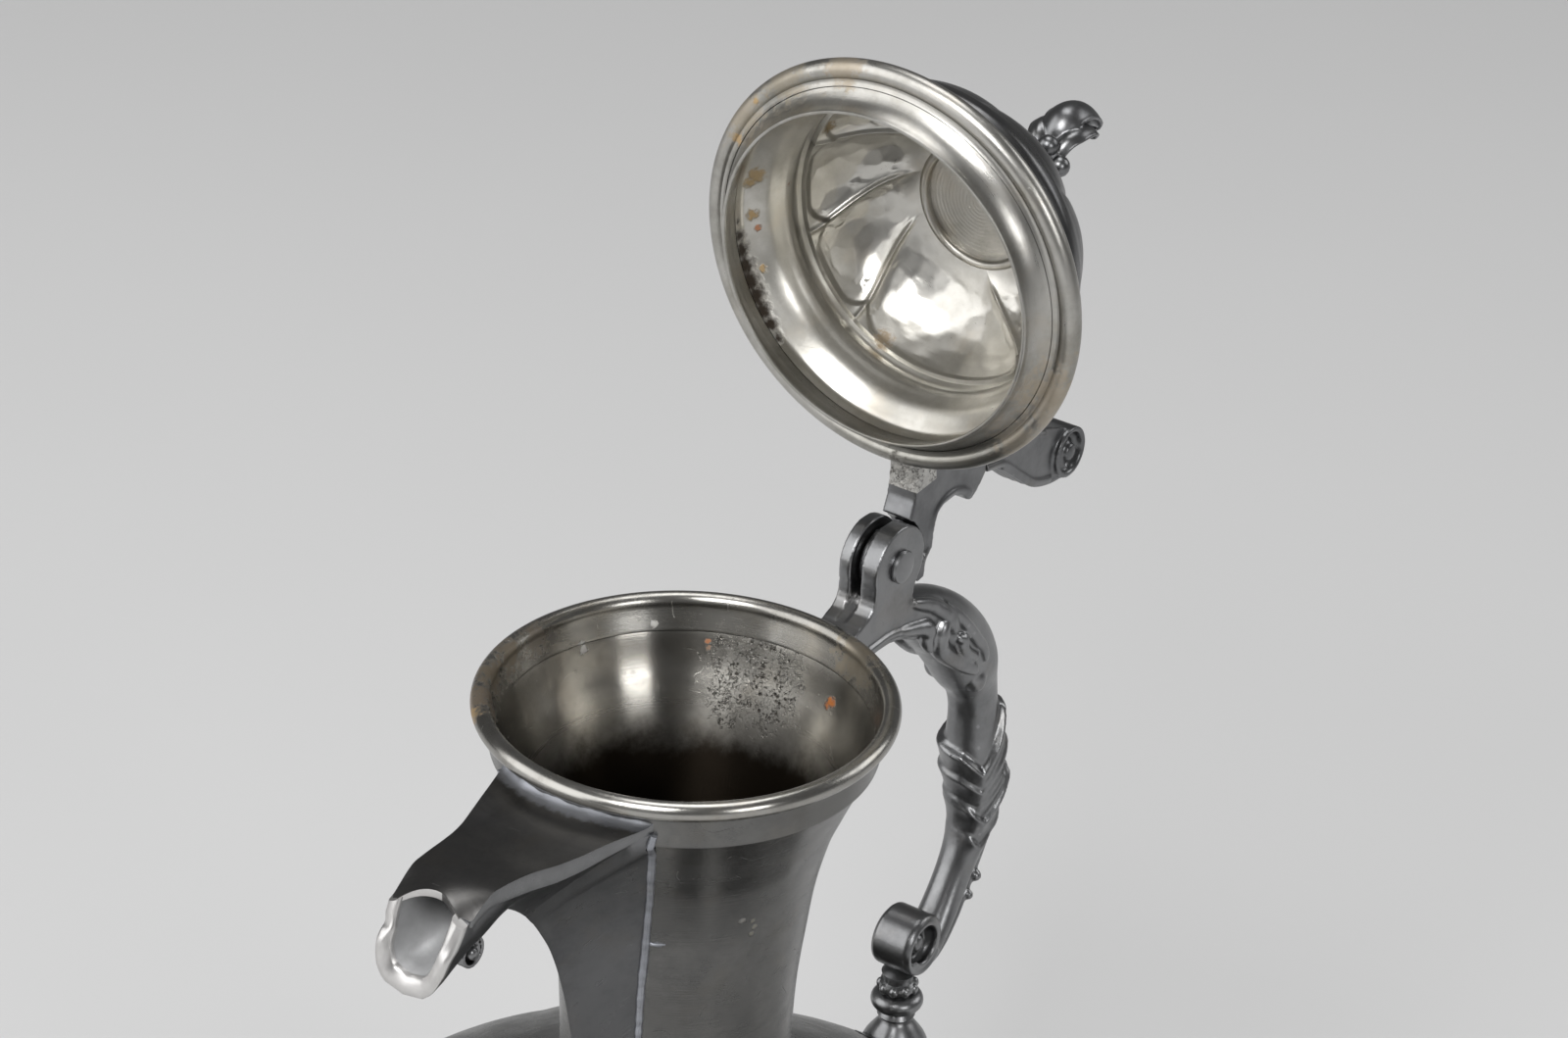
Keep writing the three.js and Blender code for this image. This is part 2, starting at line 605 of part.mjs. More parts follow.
/** The raised dome with its unequal swirled lobes, above a waisted neck. */
function lidDome() {
  const wall = 1.1;
  const rows = Array.from({ length: 6 }, (_, i) => i / 5);
  const swirl = (t) => ({ depth: LID_CREASE * Math.sin(Math.PI * (0.12 + 0.86 * t)), twist: LID_SWIRL * t ** 1.6 });
  const inner = rows.map((t) => ({ r: domeLine(t)[0], z: domeLine(t)[1], ...swirl(t) }));
  const outer = rows.map((t) => {
    const [r, z] = domeLine(t);
    return { r: r + wall * mix(0.9, 0.35, t), z: z + wall * mix(0.4, 0.95, t), ...swirl(t) };
  });
  const neckOut = [[32.6, 4.8], [32.6, 7.7], [31.6, 8.6], [29.9, 10.4], [28.7, 12.6], [28.4, 14.6], [29, 16.4], [28.9, 18.2]];
  const neckIn = [[27.9, 17.6], [27.8, 16.2], [27.1, 14.4], [27.3, 12.6], [28.6, 10.2], [30.6, 7.8], [31.5, 6.6], [31.5, 4.8]];
  const plain = ([r, z]) => ({ r, z });
  const columns = lobeColumns(LID_RIBS.map((a) => -a).reverse(), 10);
  return lobed([
    ...neckOut.map(plain), ...outer,
    { r: CROWN_HOLE_R, z: 33, twist: LID_SWIRL }, { r: CROWN_HOLE_R, z: 31.8, twist: LID_SWIRL },
    ...inner.reverse(), ...neckIn.map(plain),
  ], columns);
}

/** The disc that closes the crown and rises to the finial. */
function lidCrown() {
  const step = 33.3;
  return turned([
    [0, 32.4], [10.8, 32.4], [10.8, step], [13, step], [13.2, step + 0.9], [11.4, step + 1.7],
    [9, step + 2.4], [6.8, step + 4.2], [5.4, step + 6.8], [5, step + 8.2], [0, step + 8.2],
  ], 36);
}

/** The turned stem between crown and finial. */
function finialStem() {
  return turned([
    [0, 41.8], [4.2, 41.8], [3.2, 43.2], [4.6, 44.3], [5, 45.6], [4.2, 46.8], [2.9, 47.6], [2.6, 48.9], [0, 48.9],
  ], SMALL_STEPS);
}

const LEAF_LINE = [
  [2.6, 55.2, 1.8], [-1.6, 55, 2.8], [-5.4, 56.2, 3.8], [-7.4, 59.2, 4.6],
  [-7, 62.8, 5.2], [-5, 66.2, 5.6], [-1.8, 68.6, 5.4], [1.2, 68.8, 4.4],
];

/** The finial: berries round a bud, and a leaf that curls up and over. */
function finial() {
  const bud = turned([[0, 49.2], [2.8, 49.2], [4, 51], [4, 53], [2.6, 55], [2.2, 57.4], [0, 58.2]], SMALL_STEPS);
  const berries = [20, 110, 200, 290].map((a) => weld(new THREE.SphereGeometry(2.1, 8, 6)
    .translate(4 * Math.cos(a * DEG), 4 * Math.sin(a * DEG), 51.8)));
  const leaf = loft(LEAF_LINE.map(([x, z, half], i) => {
    const before = LEAF_LINE[Math.max(i - 1, 0)];
    const after = LEAF_LINE[Math.min(i + 1, LEAF_LINE.length - 1)];
    const length = Math.hypot(after[0] - before[0], after[1] - before[1]);
    const [nx, nz] = [-(after[1] - before[1]) / length, (after[0] - before[0]) / length];
    const side = (offset) => [-1, -0.7, -0.35, 0, 0.35, 0.7, 1].map((v) => {
      const cup = 1.6 * v * v + 0.35 * Math.cos(v * 3 * Math.PI) + offset;
      return new THREE.Vector3(x - nx * cup, v * half, z - nz * cup);
    });
    return [...side(0), ...side(1.2).reverse()];
  }));
  return fromSolid(join(bud, ...berries, leaf));
}

const ARM_CLEAR = EAR_R + 0.45;

/** The strap from the hinge to the lid: a thin tongue between the ears, then a thick scalloped web. */
function lidArm() {
  const tongue = plate(flat([
    ...arc(HINGE_X, HINGE_Z, TONGUE_R, -170, 60, 12),
    [HINGE_X + 1, 12], [HINGE_X - 6, 12],
    ...arc(HINGE_X, HINGE_Z, TONGUE_R, 130, 190, 3),
  ]), SLOT_FAR + GAP, SLOT_NEAR - GAP);
  const web = new THREE.Shape();
  web.moveTo(36.2, 8.4);
  web.quadraticCurveTo(42, 9.8, 46.4, 8.6);
  web.lineTo(HINGE_X + ARM_CLEAR * Math.cos(145 * DEG), HINGE_Z + ARM_CLEAR * Math.sin(145 * DEG));
  web.absarc(HINGE_X, HINGE_Z, ARM_CLEAR, 145 * DEG, 42 * DEG, true);
  web.lineTo(63.2, 9.4);
  web.quadraticCurveTo(61.6, 12, 59.4, 11.8);
  web.quadraticCurveTo(58.6, 14.4, 55.6, 14.3);
  web.quadraticCurveTo(50.6, 16.2, 51.4, 20);
  web.quadraticCurveTo(52.2, 23.4, 54.8, 25.6);
  web.quadraticCurveTo(53.8, 28.4, 51.6, 30.6);
  web.lineTo(45.6, 30.6);
  web.quadraticCurveTo(43.6, 22, 38.6, 15);
  web.quadraticCurveTo(35.6, 11.6, 36.2, 8.4);
  const strap = plate(web, -ARM_HALF, ARM_HALF);
  const bore = crossBar(HINGE_X, HINGE_Z, PIN_R + GAP, -6, 6);
  return fromSolid(cut(join(tongue, strap), bore));
}

/** The tall scroll that the thumb presses, rolled over at its top. */
function thumbpiece() {
  const stem = new THREE.Shape();
  stem.moveTo(45.8, 30.9);
  stem.lineTo(51.8, 30.9);
  stem.quadraticCurveTo(53.4, 36.4, 58.2, 41.6);
  stem.quadraticCurveTo(63.6, 47.6, 64.8, 52.4);
  stem.lineTo(65.2, 57.4);
  stem.lineTo(56.2, 58.6);
  stem.quadraticCurveTo(52, 50, 48.8, 43);
  stem.quadraticCurveTo(46.4, 36.8, 45.8, 30.9);
  const roll = turned([
    [0, -4.2], [1.6, -4.2], [1.6, -3.2], [2.9, -3.2], [3.4, -3.9], [4.9, -3.9], [4.9, 3.9],
    [3.4, 3.9], [2.9, 3.2], [1.6, 3.2], [1.6, 4.2], [0, 4.2],
  ], SMALL_STEPS).rotateX(Math.PI / 2).translate(60.8, 0, 57.6);
  return fromSolid(join(plate(stem, -ARM_HALF, ARM_HALF), roll));
}

// Assembly

function piece(name, geometry, material) {
  geometry.computeVertexNormals();
  const mesh = new THREE.Mesh(geometry, material);
  mesh.name = name;
  return mesh;
}

const jug = new THREE.Group();

const body = new THREE.Group();
body.position.z = MOUTH_Z;
body.add(
  piece('foot', foot(), FINISH.body()),
  piece('base_disc', baseDisc(), FINISH.body()),
  piece('foot_collar', footCollar(), FINISH.body()),
  piece('belly_lower', bellyLower(), FINISH.body()),
  piece('belly_upper', bellyUpper(), FINISH.body()),
  piece('neck', neck(), FINISH.body()),
  piece('rim_collar', rimCollar(), FINISH.rim()),
  piece('spout_body', spoutBody(), FINISH.body()),
  piece('spout_cover', spoutCover(), FINISH.body()),
  piece('spout_scroll', spoutScroll(), FINISH.cast()),
  piece('handle', handle(), FINISH.cast()),
  piece('handle_post', handlePost(), FINISH.cast()),
  piece('hinge_pin', hingePin(), FINISH.cast()),
);
jug.add(body);

const hinge = new THREE.Group();
hinge.position.set(HINGE_X, 0, MOUTH_Z + HINGE_Z);
hinge.rotation.y = OPEN_ANGLE * DEG;
const lid = new THREE.Group();
lid.position.set(-HINGE_X, 0, -HINGE_Z);
lid.add(
  piece('lid_rim', lidRim(), FINISH.lid()),
  piece('lid_spigot', lidSpigot(), FINISH.lid()),
  piece('lid_dome', lidDome(), FINISH.lid()),
  piece('lid_crown', lidCrown(), FINISH.lid()),
  piece('finial_stem', finialStem(), FINISH.cast()),
  piece('finial', finial(), FINISH.cast()),
  piece('lid_arm', lidArm(), FINISH.cast()),
  piece('thumbpiece', thumbpiece(), FINISH.cast()),
);
hinge.add(lid);
jug.add(hinge);

export default jug;
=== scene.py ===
"""A pewter wine jug whose swirled lid stands open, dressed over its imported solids.

Sizes are millimetres, and heights count from the plane of the mouth bead. X runs towards the handle,
Y away from the camera and Z up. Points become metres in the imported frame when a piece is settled.
Lid pieces are drawn shut and turned open about the hinge pin at the end.
"""

import logging
import math
from dataclasses import dataclass, field, replace
from enum import Enum
from typing import Iterable, Sequence

import bmesh
import bpy
import numpy as np
from mathutils import Matrix, Vector
from mathutils.kdtree import KDTree


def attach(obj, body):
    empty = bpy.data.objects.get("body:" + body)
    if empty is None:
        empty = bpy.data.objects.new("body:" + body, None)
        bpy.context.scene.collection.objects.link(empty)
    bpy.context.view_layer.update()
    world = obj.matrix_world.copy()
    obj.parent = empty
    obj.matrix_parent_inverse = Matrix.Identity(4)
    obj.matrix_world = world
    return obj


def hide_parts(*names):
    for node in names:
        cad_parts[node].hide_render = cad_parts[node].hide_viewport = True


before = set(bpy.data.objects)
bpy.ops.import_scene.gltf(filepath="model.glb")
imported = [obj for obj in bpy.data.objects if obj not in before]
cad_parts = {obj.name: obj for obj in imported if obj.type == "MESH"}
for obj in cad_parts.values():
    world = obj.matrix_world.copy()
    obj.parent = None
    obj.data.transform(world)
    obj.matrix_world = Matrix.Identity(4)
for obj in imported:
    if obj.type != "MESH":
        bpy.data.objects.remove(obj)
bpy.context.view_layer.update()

log = logging.getLogger("wine_jug")

MM = 0.001
MOUTH_Z = 222.0
HINGE_X = 55.92
HINGE_Z = 2.58
OPEN_DEGREES = 84.84
SHEET = 1.5
TURN = 2 * math.pi
SEED = 41
CRISP = 34.0

Row = tuple[float, ...]
Pair = tuple[float, float]
Point = tuple[float, float, float]
Colour = Point
Rows = Sequence[Row]


class Body(Enum):
    """The two bodies that the pieces ride on."""

    JUG = "jug"
    LID = "lid"


class Slot(Enum):
    """Names of material slots."""

    BODY = "body_pewter"
    RIM = "rim_pewter"
    LID = "lid_pewter"
    CAST = "cast_pewter"


class Grain(Enum):
    """How a surface was worked, which sets the run of its fine marks."""

    TURNED = "turned"
    PLANISHED = "planished"
    CAST = "cast"
    SOLDER = "solder"


# Lines and outlines


class Profile:
    """A smooth line through rows of numbers, read at places along its first column."""

    def __init__(self, rows: Rows) -> None:
        """Keeps the rows in rising order of their first number."""
        self.rows = np.array(sorted(rows), dtype=float)

    def __call__(self, at: np.ndarray | float) -> np.ndarray:
        """Reads the line.

        Args:
            at: one place or an array of places along the first column.

        Returns:
            The other columns there, one row for each place.
        """
        x, y = self.rows[:, 0], self.rows[:, 1:]
        inside = np.clip(np.atleast_1d(at), x[0], x[-1])
        i = np.clip(np.searchsorted(x, inside) - 1, 0, len(x) - 2)
        before, after = np.maximum(i - 1, 0), np.minimum(i + 2, len(x) - 1)
        span = (x[i + 1] - x[i])[:, None]
        t = ((inside - x[i])[:, None]) / span
        slope_in = (y[i + 1] - y[before]) / (x[i + 1] - x[before])[:, None] * span
        slope_out = (y[after] - y[i]) / (x[after] - x[i])[:, None] * span
        rise, flat = 3 * t**2 - 2 * t**3, t**3 - 2 * t**2 + t
        return y[i] * (1 - rise) + y[i + 1] * rise + slope_in * flat + slope_out * (t**3 - t**2)


def flow(points: Rows, steps: int = 6) -> np.ndarray:
    """Runs a smooth line through points of any size.

    Args:
        points: the points in order.
        steps: how many pieces each span is cut into.

    Returns:
        The points of the line, ends included.
    """
    p = np.array(points, dtype=float)
    ends = np.vstack([2 * p[0] - p[1], p, 2 * p[-1] - p[-2]])
    out = []
    for i in range(1, len(ends) - 2):
        a, b, c, d = ends[i - 1 : i + 3]
        for t in np.linspace(0, 1, steps, endpoint=False):
            bend, twist = 2 * a - 5 * b + 4 * c - d, 3 * b - a - 3 * c + d
            out.append(0.5 * (2 * b + (c - a) * t + bend * t**2 + twist * t**3))
    return np.vstack([out, p[-1]])


def arc(centre: Row, radius: float, start: float, end: float, count: int) -> list[Pair]:
    """Points of an arc in an outline, from one angle to another in degrees."""
    angles = np.radians(np.linspace(start, end, count + 1))
    return [(centre[0] + radius * math.cos(a), centre[1] + radius * math.sin(a)) for a in angles]


def smooth_step(low: float, high: float, at: np.ndarray | float) -> np.ndarray:
    """Rises smoothly from 0 at low to 1 at high."""
    t = np.clip((at - low) / (high - low), 0, 1)
    return t * t * (3 - 2 * t)


def bump(at: np.ndarray | float, middle: float, width: float) -> np.ndarray:
    """A soft hump of height 1 round a middle."""
    return np.exp(-(((at - middle) / width) ** 2))


def headings(line: np.ndarray) -> np.ndarray:
    """The unit direction of a line at each of its points."""
    ahead = np.gradient(line, axis=0)
    return ahead / np.linalg.norm(ahead, axis=1)[:, None]


def aside(line: np.ndarray, y: np.ndarray | float) -> np.ndarray:
    """A line of (x, z) points set across the jug by one distance, or by one for each point."""
    return np.column_stack([line[:, 0], np.broadcast_to(y, len(line)), line[:, 1]])


# Surfaces


@dataclass
class Surface:
    """Points in millimetres, with faces and the number of the finish on each face, or with bare edges."""

    points: np.ndarray
    faces: list[tuple[int, ...]]
    finish: list[int] = field(default_factory=list)
    edges: list[tuple[int, int]] = field(default_factory=list)

    def __post_init__(self) -> None:
        """Gives every face the first finish where none is named."""
        self.points = np.asarray(self.points, dtype=float)
        self.finish = self.finish or [0] * len(self.faces)

    def moved(self, x: float = 0.0, y: float = 0.0, z: float = 0.0) -> "Surface":
        """The same surface at another place."""
        return replace(self, points=self.points + np.array([x, y, z]))

    def lying(self) -> "Surface":
        """The same surface with its own Z turned to point along -Y."""
        x, y, z = self.points.T
        return replace(self, points=np.column_stack([x, -z, y]))

    def placed(self, on_lid: bool) -> "Surface":
        """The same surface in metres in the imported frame, turned open where it is drawn on the shut lid."""
        points = opened(self.points) if on_lid else self.points
        return replace(self, points=(points + np.array([0, 0, MOUTH_Z])) * MM)

    def mesh(self, name: str) -> bpy.types.Mesh:
        """A Blender mesh of this surface, in its own unit.

        Args:
            name: the mesh's name.

        Returns:
            The mesh.
        """
        mesh = bpy.data.meshes.new(name)
        mesh.from_pydata(self.points.tolist(), self.edges, self.faces)
        mesh.polygons.foreach_set("material_index", self.finish)
        mesh.update()
        return mesh


def linked(name: str, data: bpy.types.ID) -> bpy.types.Object:
    """A new object of that name and data, linked into the scene.

    Args:
        name: the object's name.
        data: its mesh, lamp or camera.

    Returns:
        The object.
    """
    thing = bpy.data.objects.new(name, data)
    bpy.context.scene.collection.objects.link(thing)
    return thing


def baked(thing: bpy.types.Object) -> bpy.types.Mesh:
    """The mesh that an object's modifiers leave, the object itself being removed.

    Args:
        thing: the object.

    Returns:
        The mesh.
    """
    mesh = bpy.data.meshes.new_from_object(thing.evaluated_get(bpy.context.evaluated_depsgraph_get()))
    bpy.data.objects.remove(thing)
    return mesh


def lifted(mesh: bpy.types.Mesh) -> Surface:
    """The surface of a mesh in millimetres, the mesh itself being removed.

    Args:
        mesh: a mesh in millimetres.

    Returns:
        Its points, faces and finishes.
    """
    points = np.empty(len(mesh.vertices) * 3)
    mesh.vertices.foreach_get("co", points)
    surface = Surface(
        points.reshape(-1, 3), [tuple(p.vertices) for p in mesh.polygons], [p.material_index for p in mesh.polygons]
    )
    bpy.data.meshes.remove(mesh)
    return surface


def together(surfaces: Iterable[Surface]) -> Surface:
    """Puts several surfaces into one.

    Args:
        surfaces: the surfaces, which may pass through one another.

    Returns:
        One surface that holds all their points and faces.
    """
    points, faces, finish, start = [], [], [], 0
    for part in surfaces:
        points.append(part.points)
        faces += [tuple(i + start for i in face) for face in part.faces]
        finish += part.finish
        start += len(part.points)
    return Surface(np.vstack(points), faces, finish)


def ring_faces(rings: int, around: int, wraps: bool) -> list[tuple[int, ...]]:
    """Quads between rings of points that follow one another.

    Args:
        rings: how many rings there are.
        around: how many points each ring has.
        wraps: True where the last ring meets the first again.

    Returns:
        The quads, as point numbers.
    """
    out = []
    for i in range(rings if wraps else rings - 1):
        a, b = i * around, ((i + 1) % rings) * around
        out += [(a + j, a + (j + 1) % around, b + (j + 1) % around, b + j) for j in range(around)]
    return out


def turned(outline: Rows, steps: int = 240, inner_from: int | None = None) -> Surface:
    """Revolves an outline of (radius, height) points about Z.

    Args:
        outline: points that run up the outer side, closed on itself or from axis to axis.
        steps: how many points go round.
        inner_from: the outline point from which faces take the second finish.

    Returns:
        A closed surface.
    """
    angles = np.arange(steps) * TURN / steps
    on_axis = [r < 1e-6 for r, _ in outline]
    rows = [p for p, axis in zip(outline, on_axis) if not axis]
    rings = [np.column_stack([r * np.cos(angles), r * np.sin(angles), np.full(steps, z)]) for r, z in rows]
    faces = ring_faces(len(rows), steps, not any(on_axis))
    points = np.vstack(rings)
    first = 1 if on_axis[0] else 0
    finish = [int(inner_from is not None and k // steps + first >= inner_from) for k in range(len(faces))]
    if on_axis[0]:
        points = np.vstack([points, [0, 0, outline[0][1]]])
        faces += [((j + 1) % steps, j, len(points) - 1) for j in range(steps)]
        finish += [0] * steps
    if on_axis[-1]:
        points = np.vstack([points, [0, 0, outline[-1][1]]])
        top = (len(rows) - 1) * steps
        faces += [(top + j, top + (j + 1) % steps, len(points) - 1) for j in range(steps)]
        finish += [int(inner_from is not None)] * steps
    return Surface(points, faces, finish)


def skin(rings: Sequence[np.ndarray]) -> Surface:
    """Skins rings of points and closes both ends with strips from side to side.

    Args:
        rings: arrays of the same even number of points; the first half of each faces its second half.

    Returns:
        A closed surface.
    """
    n, last = len(rings[0]), (len(rings) - 1) * len(rings[0])
    faces = ring_faces(len(rings), n, False)
    for k in range(n // 2 - 1):
        faces.append((k, n - 1 - k, n - 2 - k, k + 1))
        faces.append((last + k, last + k + 1, last + n - 2 - k, last + n - 1 - k))
    return Surface(np.vstack(rings), faces)


def plate(outline: Rows, from_y: float, to_y: float) -> Surface:
    """A flat plate whose outline lies in the X-Z plane.

    Args:
        outline: (x, z) points, counter-clockwise when seen from -Y.
        from_y: the plate's near side.
        to_y: the plate's far side.

    Returns:
        A closed surface.
    """
    n = len(outline)
    near = [(x, from_y, z) for x, z in outline]
    far = [(x, to_y, z) for x, z in outline]
    sides = [(i, i + n, (i + 1) % n + n, (i + 1) % n) for i in range(n)]
    return Surface(np.array(near + far), [*sides, tuple(range(n)), tuple(range(2 * n - 1, n - 1, -1))])


def cross_bar(x: float, z: float, outline: Rows, steps: int = 64) -> Surface:
    """A turned bar that lies across the jug, its outline's heights running towards the camera's side."""
    return turned(outline, steps).lying().moved(x, 0, z)


def cord(line: np.ndarray, radii: np.ndarray | float, sides: int = 10) -> Surface:
    """A round ridge along a line in space.

    Args:
        line: the points of its middle.
        radii: its radius, the same all along or one for each point.
        sides: how many points go round it.

    Returns:
        A closed surface.
    """
    radii = np.broadcast_to(radii, len(line))
    ahead = headings(line)
    side = np.cross(ahead, [0.0, 1.0, 0.0])
    weak = np.linalg.norm(side, axis=1) < 1e-3
    side[weak] = np.cross(ahead[weak], [1.0, 0.0, 0.0])
    side /= np.linalg.norm(side, axis=1)[:, None]
    over = np.cross(side, ahead)
    angles = np.arange(sides) * TURN / sides
    rings = [
        p + r * (np.outer(np.cos(angles), s) + np.outer(np.sin(angles), o))
        for p, r, s, o in zip(line, radii, side, over)
    ]
    return skin(rings)


def ball(x: float, y: float, z: float, radius: float, flat: float = 1.0) -> Surface:
    """Makes a small ball.

    Args:
        x: its middle, towards the handle.
        y: its middle, away from the camera.
        z: its middle, upwards.
        radius: its radius.
        flat: its height as a share of its width.

    Returns:
        The ball.
    """
    angles = np.linspace(-math.pi / 2, math.pi / 2, 13)
    outline = [(radius * math.cos(a), flat * radius * math.sin(a)) for a in angles]
    return turned([(0, outline[0][1]), *outline[1:-1], (0, outline[-1][1])], 20).moved(x, y, z)


def fused(surface: Surface, grain: float = 0.3, passes: int = 3) -> Surface:
    """Melts surfaces that pass through one another into one casting with soft corners.

    Args:
        surface: the closed surfaces together.
        grain: the size of the new faces, in millimetres.
        passes: how often the result is smoothed.

    Returns:
        One closed surface.
    """
    thing = linked("casting", surface.mesh("casting"))
    melt = thing.modifiers.new("melt", "REMESH")
    melt.mode, melt.voxel_size = "VOXEL", grain
    ease = thing.modifiers.new("ease", "SMOOTH")
    ease.factor, ease.iterations = 0.5, passes
    return lifted(baked(thing))


def carved(surface: Surface, tool: Surface) -> Surface:
    """Cuts one closed surface out of another and keeps the finishes.

    Args:
        surface: the surface that is cut.
        tool: what is taken away.

    Returns:
        What is left.
    """
    thing, knife = [linked("cut", s.mesh("cut")) for s in (surface, tool)]
    spare = [bpy.data.materials.new("cut") for _ in range(max(surface.finish) + 1)]
    for held in (thing, knife):
        for material in spare:
            held.data.materials.append(material)
    cut = thing.modifiers.new("cut", "BOOLEAN")
    cut.operation, cut.solver, cut.object = "DIFFERENCE", "EXACT", knife
    left = lifted(baked(thing))
    bpy.data.objects.remove(knife)
    for material in spare:
        bpy.data.materials.remove(material)
    return left


def opened(points: np.ndarray) -> np.ndarray:
    """Turns points of the shut lid about the hinge pin to where it stands open.

    Args:
        points: places on the shut lid, in millimetres.

    Returns:
        The same places on the open lid.
    """
    a = math.radians(OPEN_DEGREES)
    x, y, z = (points - np.array([HINGE_X, 0, HINGE_Z])).T
    return np.column_stack([
        HINGE_X + x * math.cos(a) + z * math.sin(a), y, HINGE_Z - x * math.sin(a) + z * math.cos(a),
    ])


def settle(
    name: str,
    made: Surface | bpy.types.Mesh,
    finishes: Sequence["Pewter"],
    body: Body,
    nodes: Sequence[str],
    crisp: float = CRISP,
) -> bpy.types.Object:
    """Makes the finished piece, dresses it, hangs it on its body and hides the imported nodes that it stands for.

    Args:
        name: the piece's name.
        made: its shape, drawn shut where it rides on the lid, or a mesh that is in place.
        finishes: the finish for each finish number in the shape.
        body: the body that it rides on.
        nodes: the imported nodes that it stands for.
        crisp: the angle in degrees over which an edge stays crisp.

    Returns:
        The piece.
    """
    mesh = made
    if isinstance(made, Surface):
        mesh = made.placed(body is Body.LID).mesh(name)
        net = bmesh.new()
        net.from_mesh(mesh)
        bmesh.ops.remove_doubles(net, verts=net.verts, dist=1e-7)
        bmesh.ops.dissolve_degenerate(net, dist=1e-8, edges=net.edges)
        bmesh.ops.recalc_face_normals(net, faces=net.faces)
        net.to_mesh(mesh)
        net.free()
    mesh.name = name
    piece = linked(name, mesh)
    numbers = [p.material_index if len(finishes) > 1 else 0 for p in mesh.polygons]
    mesh.materials.clear()
    for finish in finishes:
        mesh.materials.append(finish.material())
    mesh.polygons.foreach_set("material_index", numbers)
    mesh.shade_smooth()
    mesh.set_sharp_from_angle(angle=math.radians(crisp))
    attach(piece, body.value)
    if nodes:
        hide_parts(*nodes)
    log.info("%s: %d faces on %s", name, len(mesh.polygons), body.value)
    return piece


# Finishes


class Wire:
    """A node's output that can be reckoned with: each sign adds a math node."""

    def __init__(self, tree: "Tree", socket: bpy.types.NodeSocket) -> None:
        """Keeps the output and its tree."""
        self.tree, self.socket = tree, socket

    def __add__(self, other: "Wire | float") -> "Wire":
        """The sum."""
        return self.tree.math("ADD", self, other)

    def __sub__(self, other: "Wire | float") -> "Wire":
        """What is left when the other is taken away."""
        return self.tree.math("SUBTRACT", self, other)

    def __rsub__(self, other: float) -> "Wire":
        """What is left of a number."""
        return self.tree.math("SUBTRACT", other, self)

    def __mul__(self, other: "Wire | float") -> "Wire":
        """The product."""
        return self.tree.math("MULTIPLY", self, other)

    def __truediv__(self, other: "Wire | float") -> "Wire":
        """The quotient."""
        return self.tree.math("DIVIDE", self, other)


class Tree:
    """A node tree wired by short calls."""

    def __init__(self, tree: bpy.types.NodeTree) -> None:
        """Keeps the tree, empty."""
        self.tree = tree
        tree.nodes.clear()

    def out(self, kind: str, inputs: dict[str | int, object], output: str | int = 0, **traits: object) -> Wire:
        """Adds a node and gives one of its outputs.

        Args:
            kind: the node's type name, without its prefix where that is ShaderNode.
            inputs: values or wires by input name or number.
            output: the name or number of the output.
            traits: the node's own settings.

        Returns:
            That output.
        """
        named = kind.startswith(("GeometryNode", "FunctionNode"))
        node = self.tree.nodes.new(kind if named else "ShaderNode" + kind)
        for trait, value in traits.items():
            setattr(node, trait, value)
        for key, value in inputs.items():
            if isinstance(value, Wire):
                self.tree.links.new(value.socket, node.inputs[key])
            else:
                node.inputs[key].default_value = value
        return Wire(self, node.outputs[output])

    def math(self, operation: str, *values: Wire | float) -> Wire:
        """A math node's result."""
        return self.out("Math", dict(enumerate(values)), operation=operation)

    def vector(self, *parts: Wire | float) -> Wire:
        """A vector from its three parts."""
        return self.out("CombineXYZ", dict(enumerate(parts)))

    def split(self, vector: Wire) -> tuple[Wire, ...]:
        """The three parts of a vector."""
        node = self.out("SeparateXYZ", {0: vector}).socket.node
        return tuple(Wire(self, part) for part in node.outputs)

    def noise(self, vector: Wire, scale: Wire | float, detail: float = 3, rough: float = 0.55) -> Wire:
        """A noise texture's value, between 0 and 1."""
        return self.out("TexNoise", {"Vector": vector, "Scale": scale, "Detail": detail, "Roughness": rough}, "Fac")

    def ease(self, value: Wire, low: float, high: float, to_low: float = 0.0, to_high: float = 1.0) -> Wire:
        """A smooth step from one value to another between two limits."""
        inputs = {"Value": value, "From Min": low, "From Max": high, "To Min": to_low, "To Max": to_high}
        return self.out("MapRange", inputs, "Result", interpolation_type="SMOOTHSTEP")

    def blend(self, factor: Wire, one: Wire | Colour, other: Wire | Colour) -> Wire:
        """A colour mixed from two by a factor."""
        first, second = [(*c, 1.0) if isinstance(c, tuple) else c for c in (one, other)]
        return self.out("Mix", {0: factor, 6: first, 7: second}, 2, data_type="RGBA")

    def distance(self, place: Wire, point: Row) -> Wire:
        """How far places are from a point."""
        return self.out("VectorMath", {0: place, 1: point}, "Value", operation="DISTANCE")

    def end(self, last: Wire, kind: str = "ShaderNodeOutputMaterial") -> None:
        """Ends the tree in an output node."""
        self.tree.links.new(last.socket, self.tree.nodes.new(kind).inputs[0])


@dataclass
class Coat:
    """What a finish has become so far, while it is wired."""

    net: Tree
    place: Wire
    colour: Wire
    rough: Wire
    metal: Wire
    normal: Wire | None = None

    def tint(self, on: Wire, colour: Colour) -> None:
        """Lays a colour over it."""
        self.colour = self.net.blend(on, self.colour, colour)

    def roughen(self, on: Wire, by: float) -> None:
        """Makes it duller."""
        self.rough = self.rough + on * by

    def bump(self, height: Wire, depth: float) -> None:
        """Raises it by a height between 0 and 1, of a depth in millimetres.

        Args:
            height: the height.
            depth: how deep a height of 1 is.
        """
        inputs: dict[str | int, object] = {"Height": height, "Distance": depth * MM, "Strength": 1.0}
        if self.normal:
            inputs["Normal"] = self.normal
        self.normal = self.net.out("Bump", inputs, "Normal")


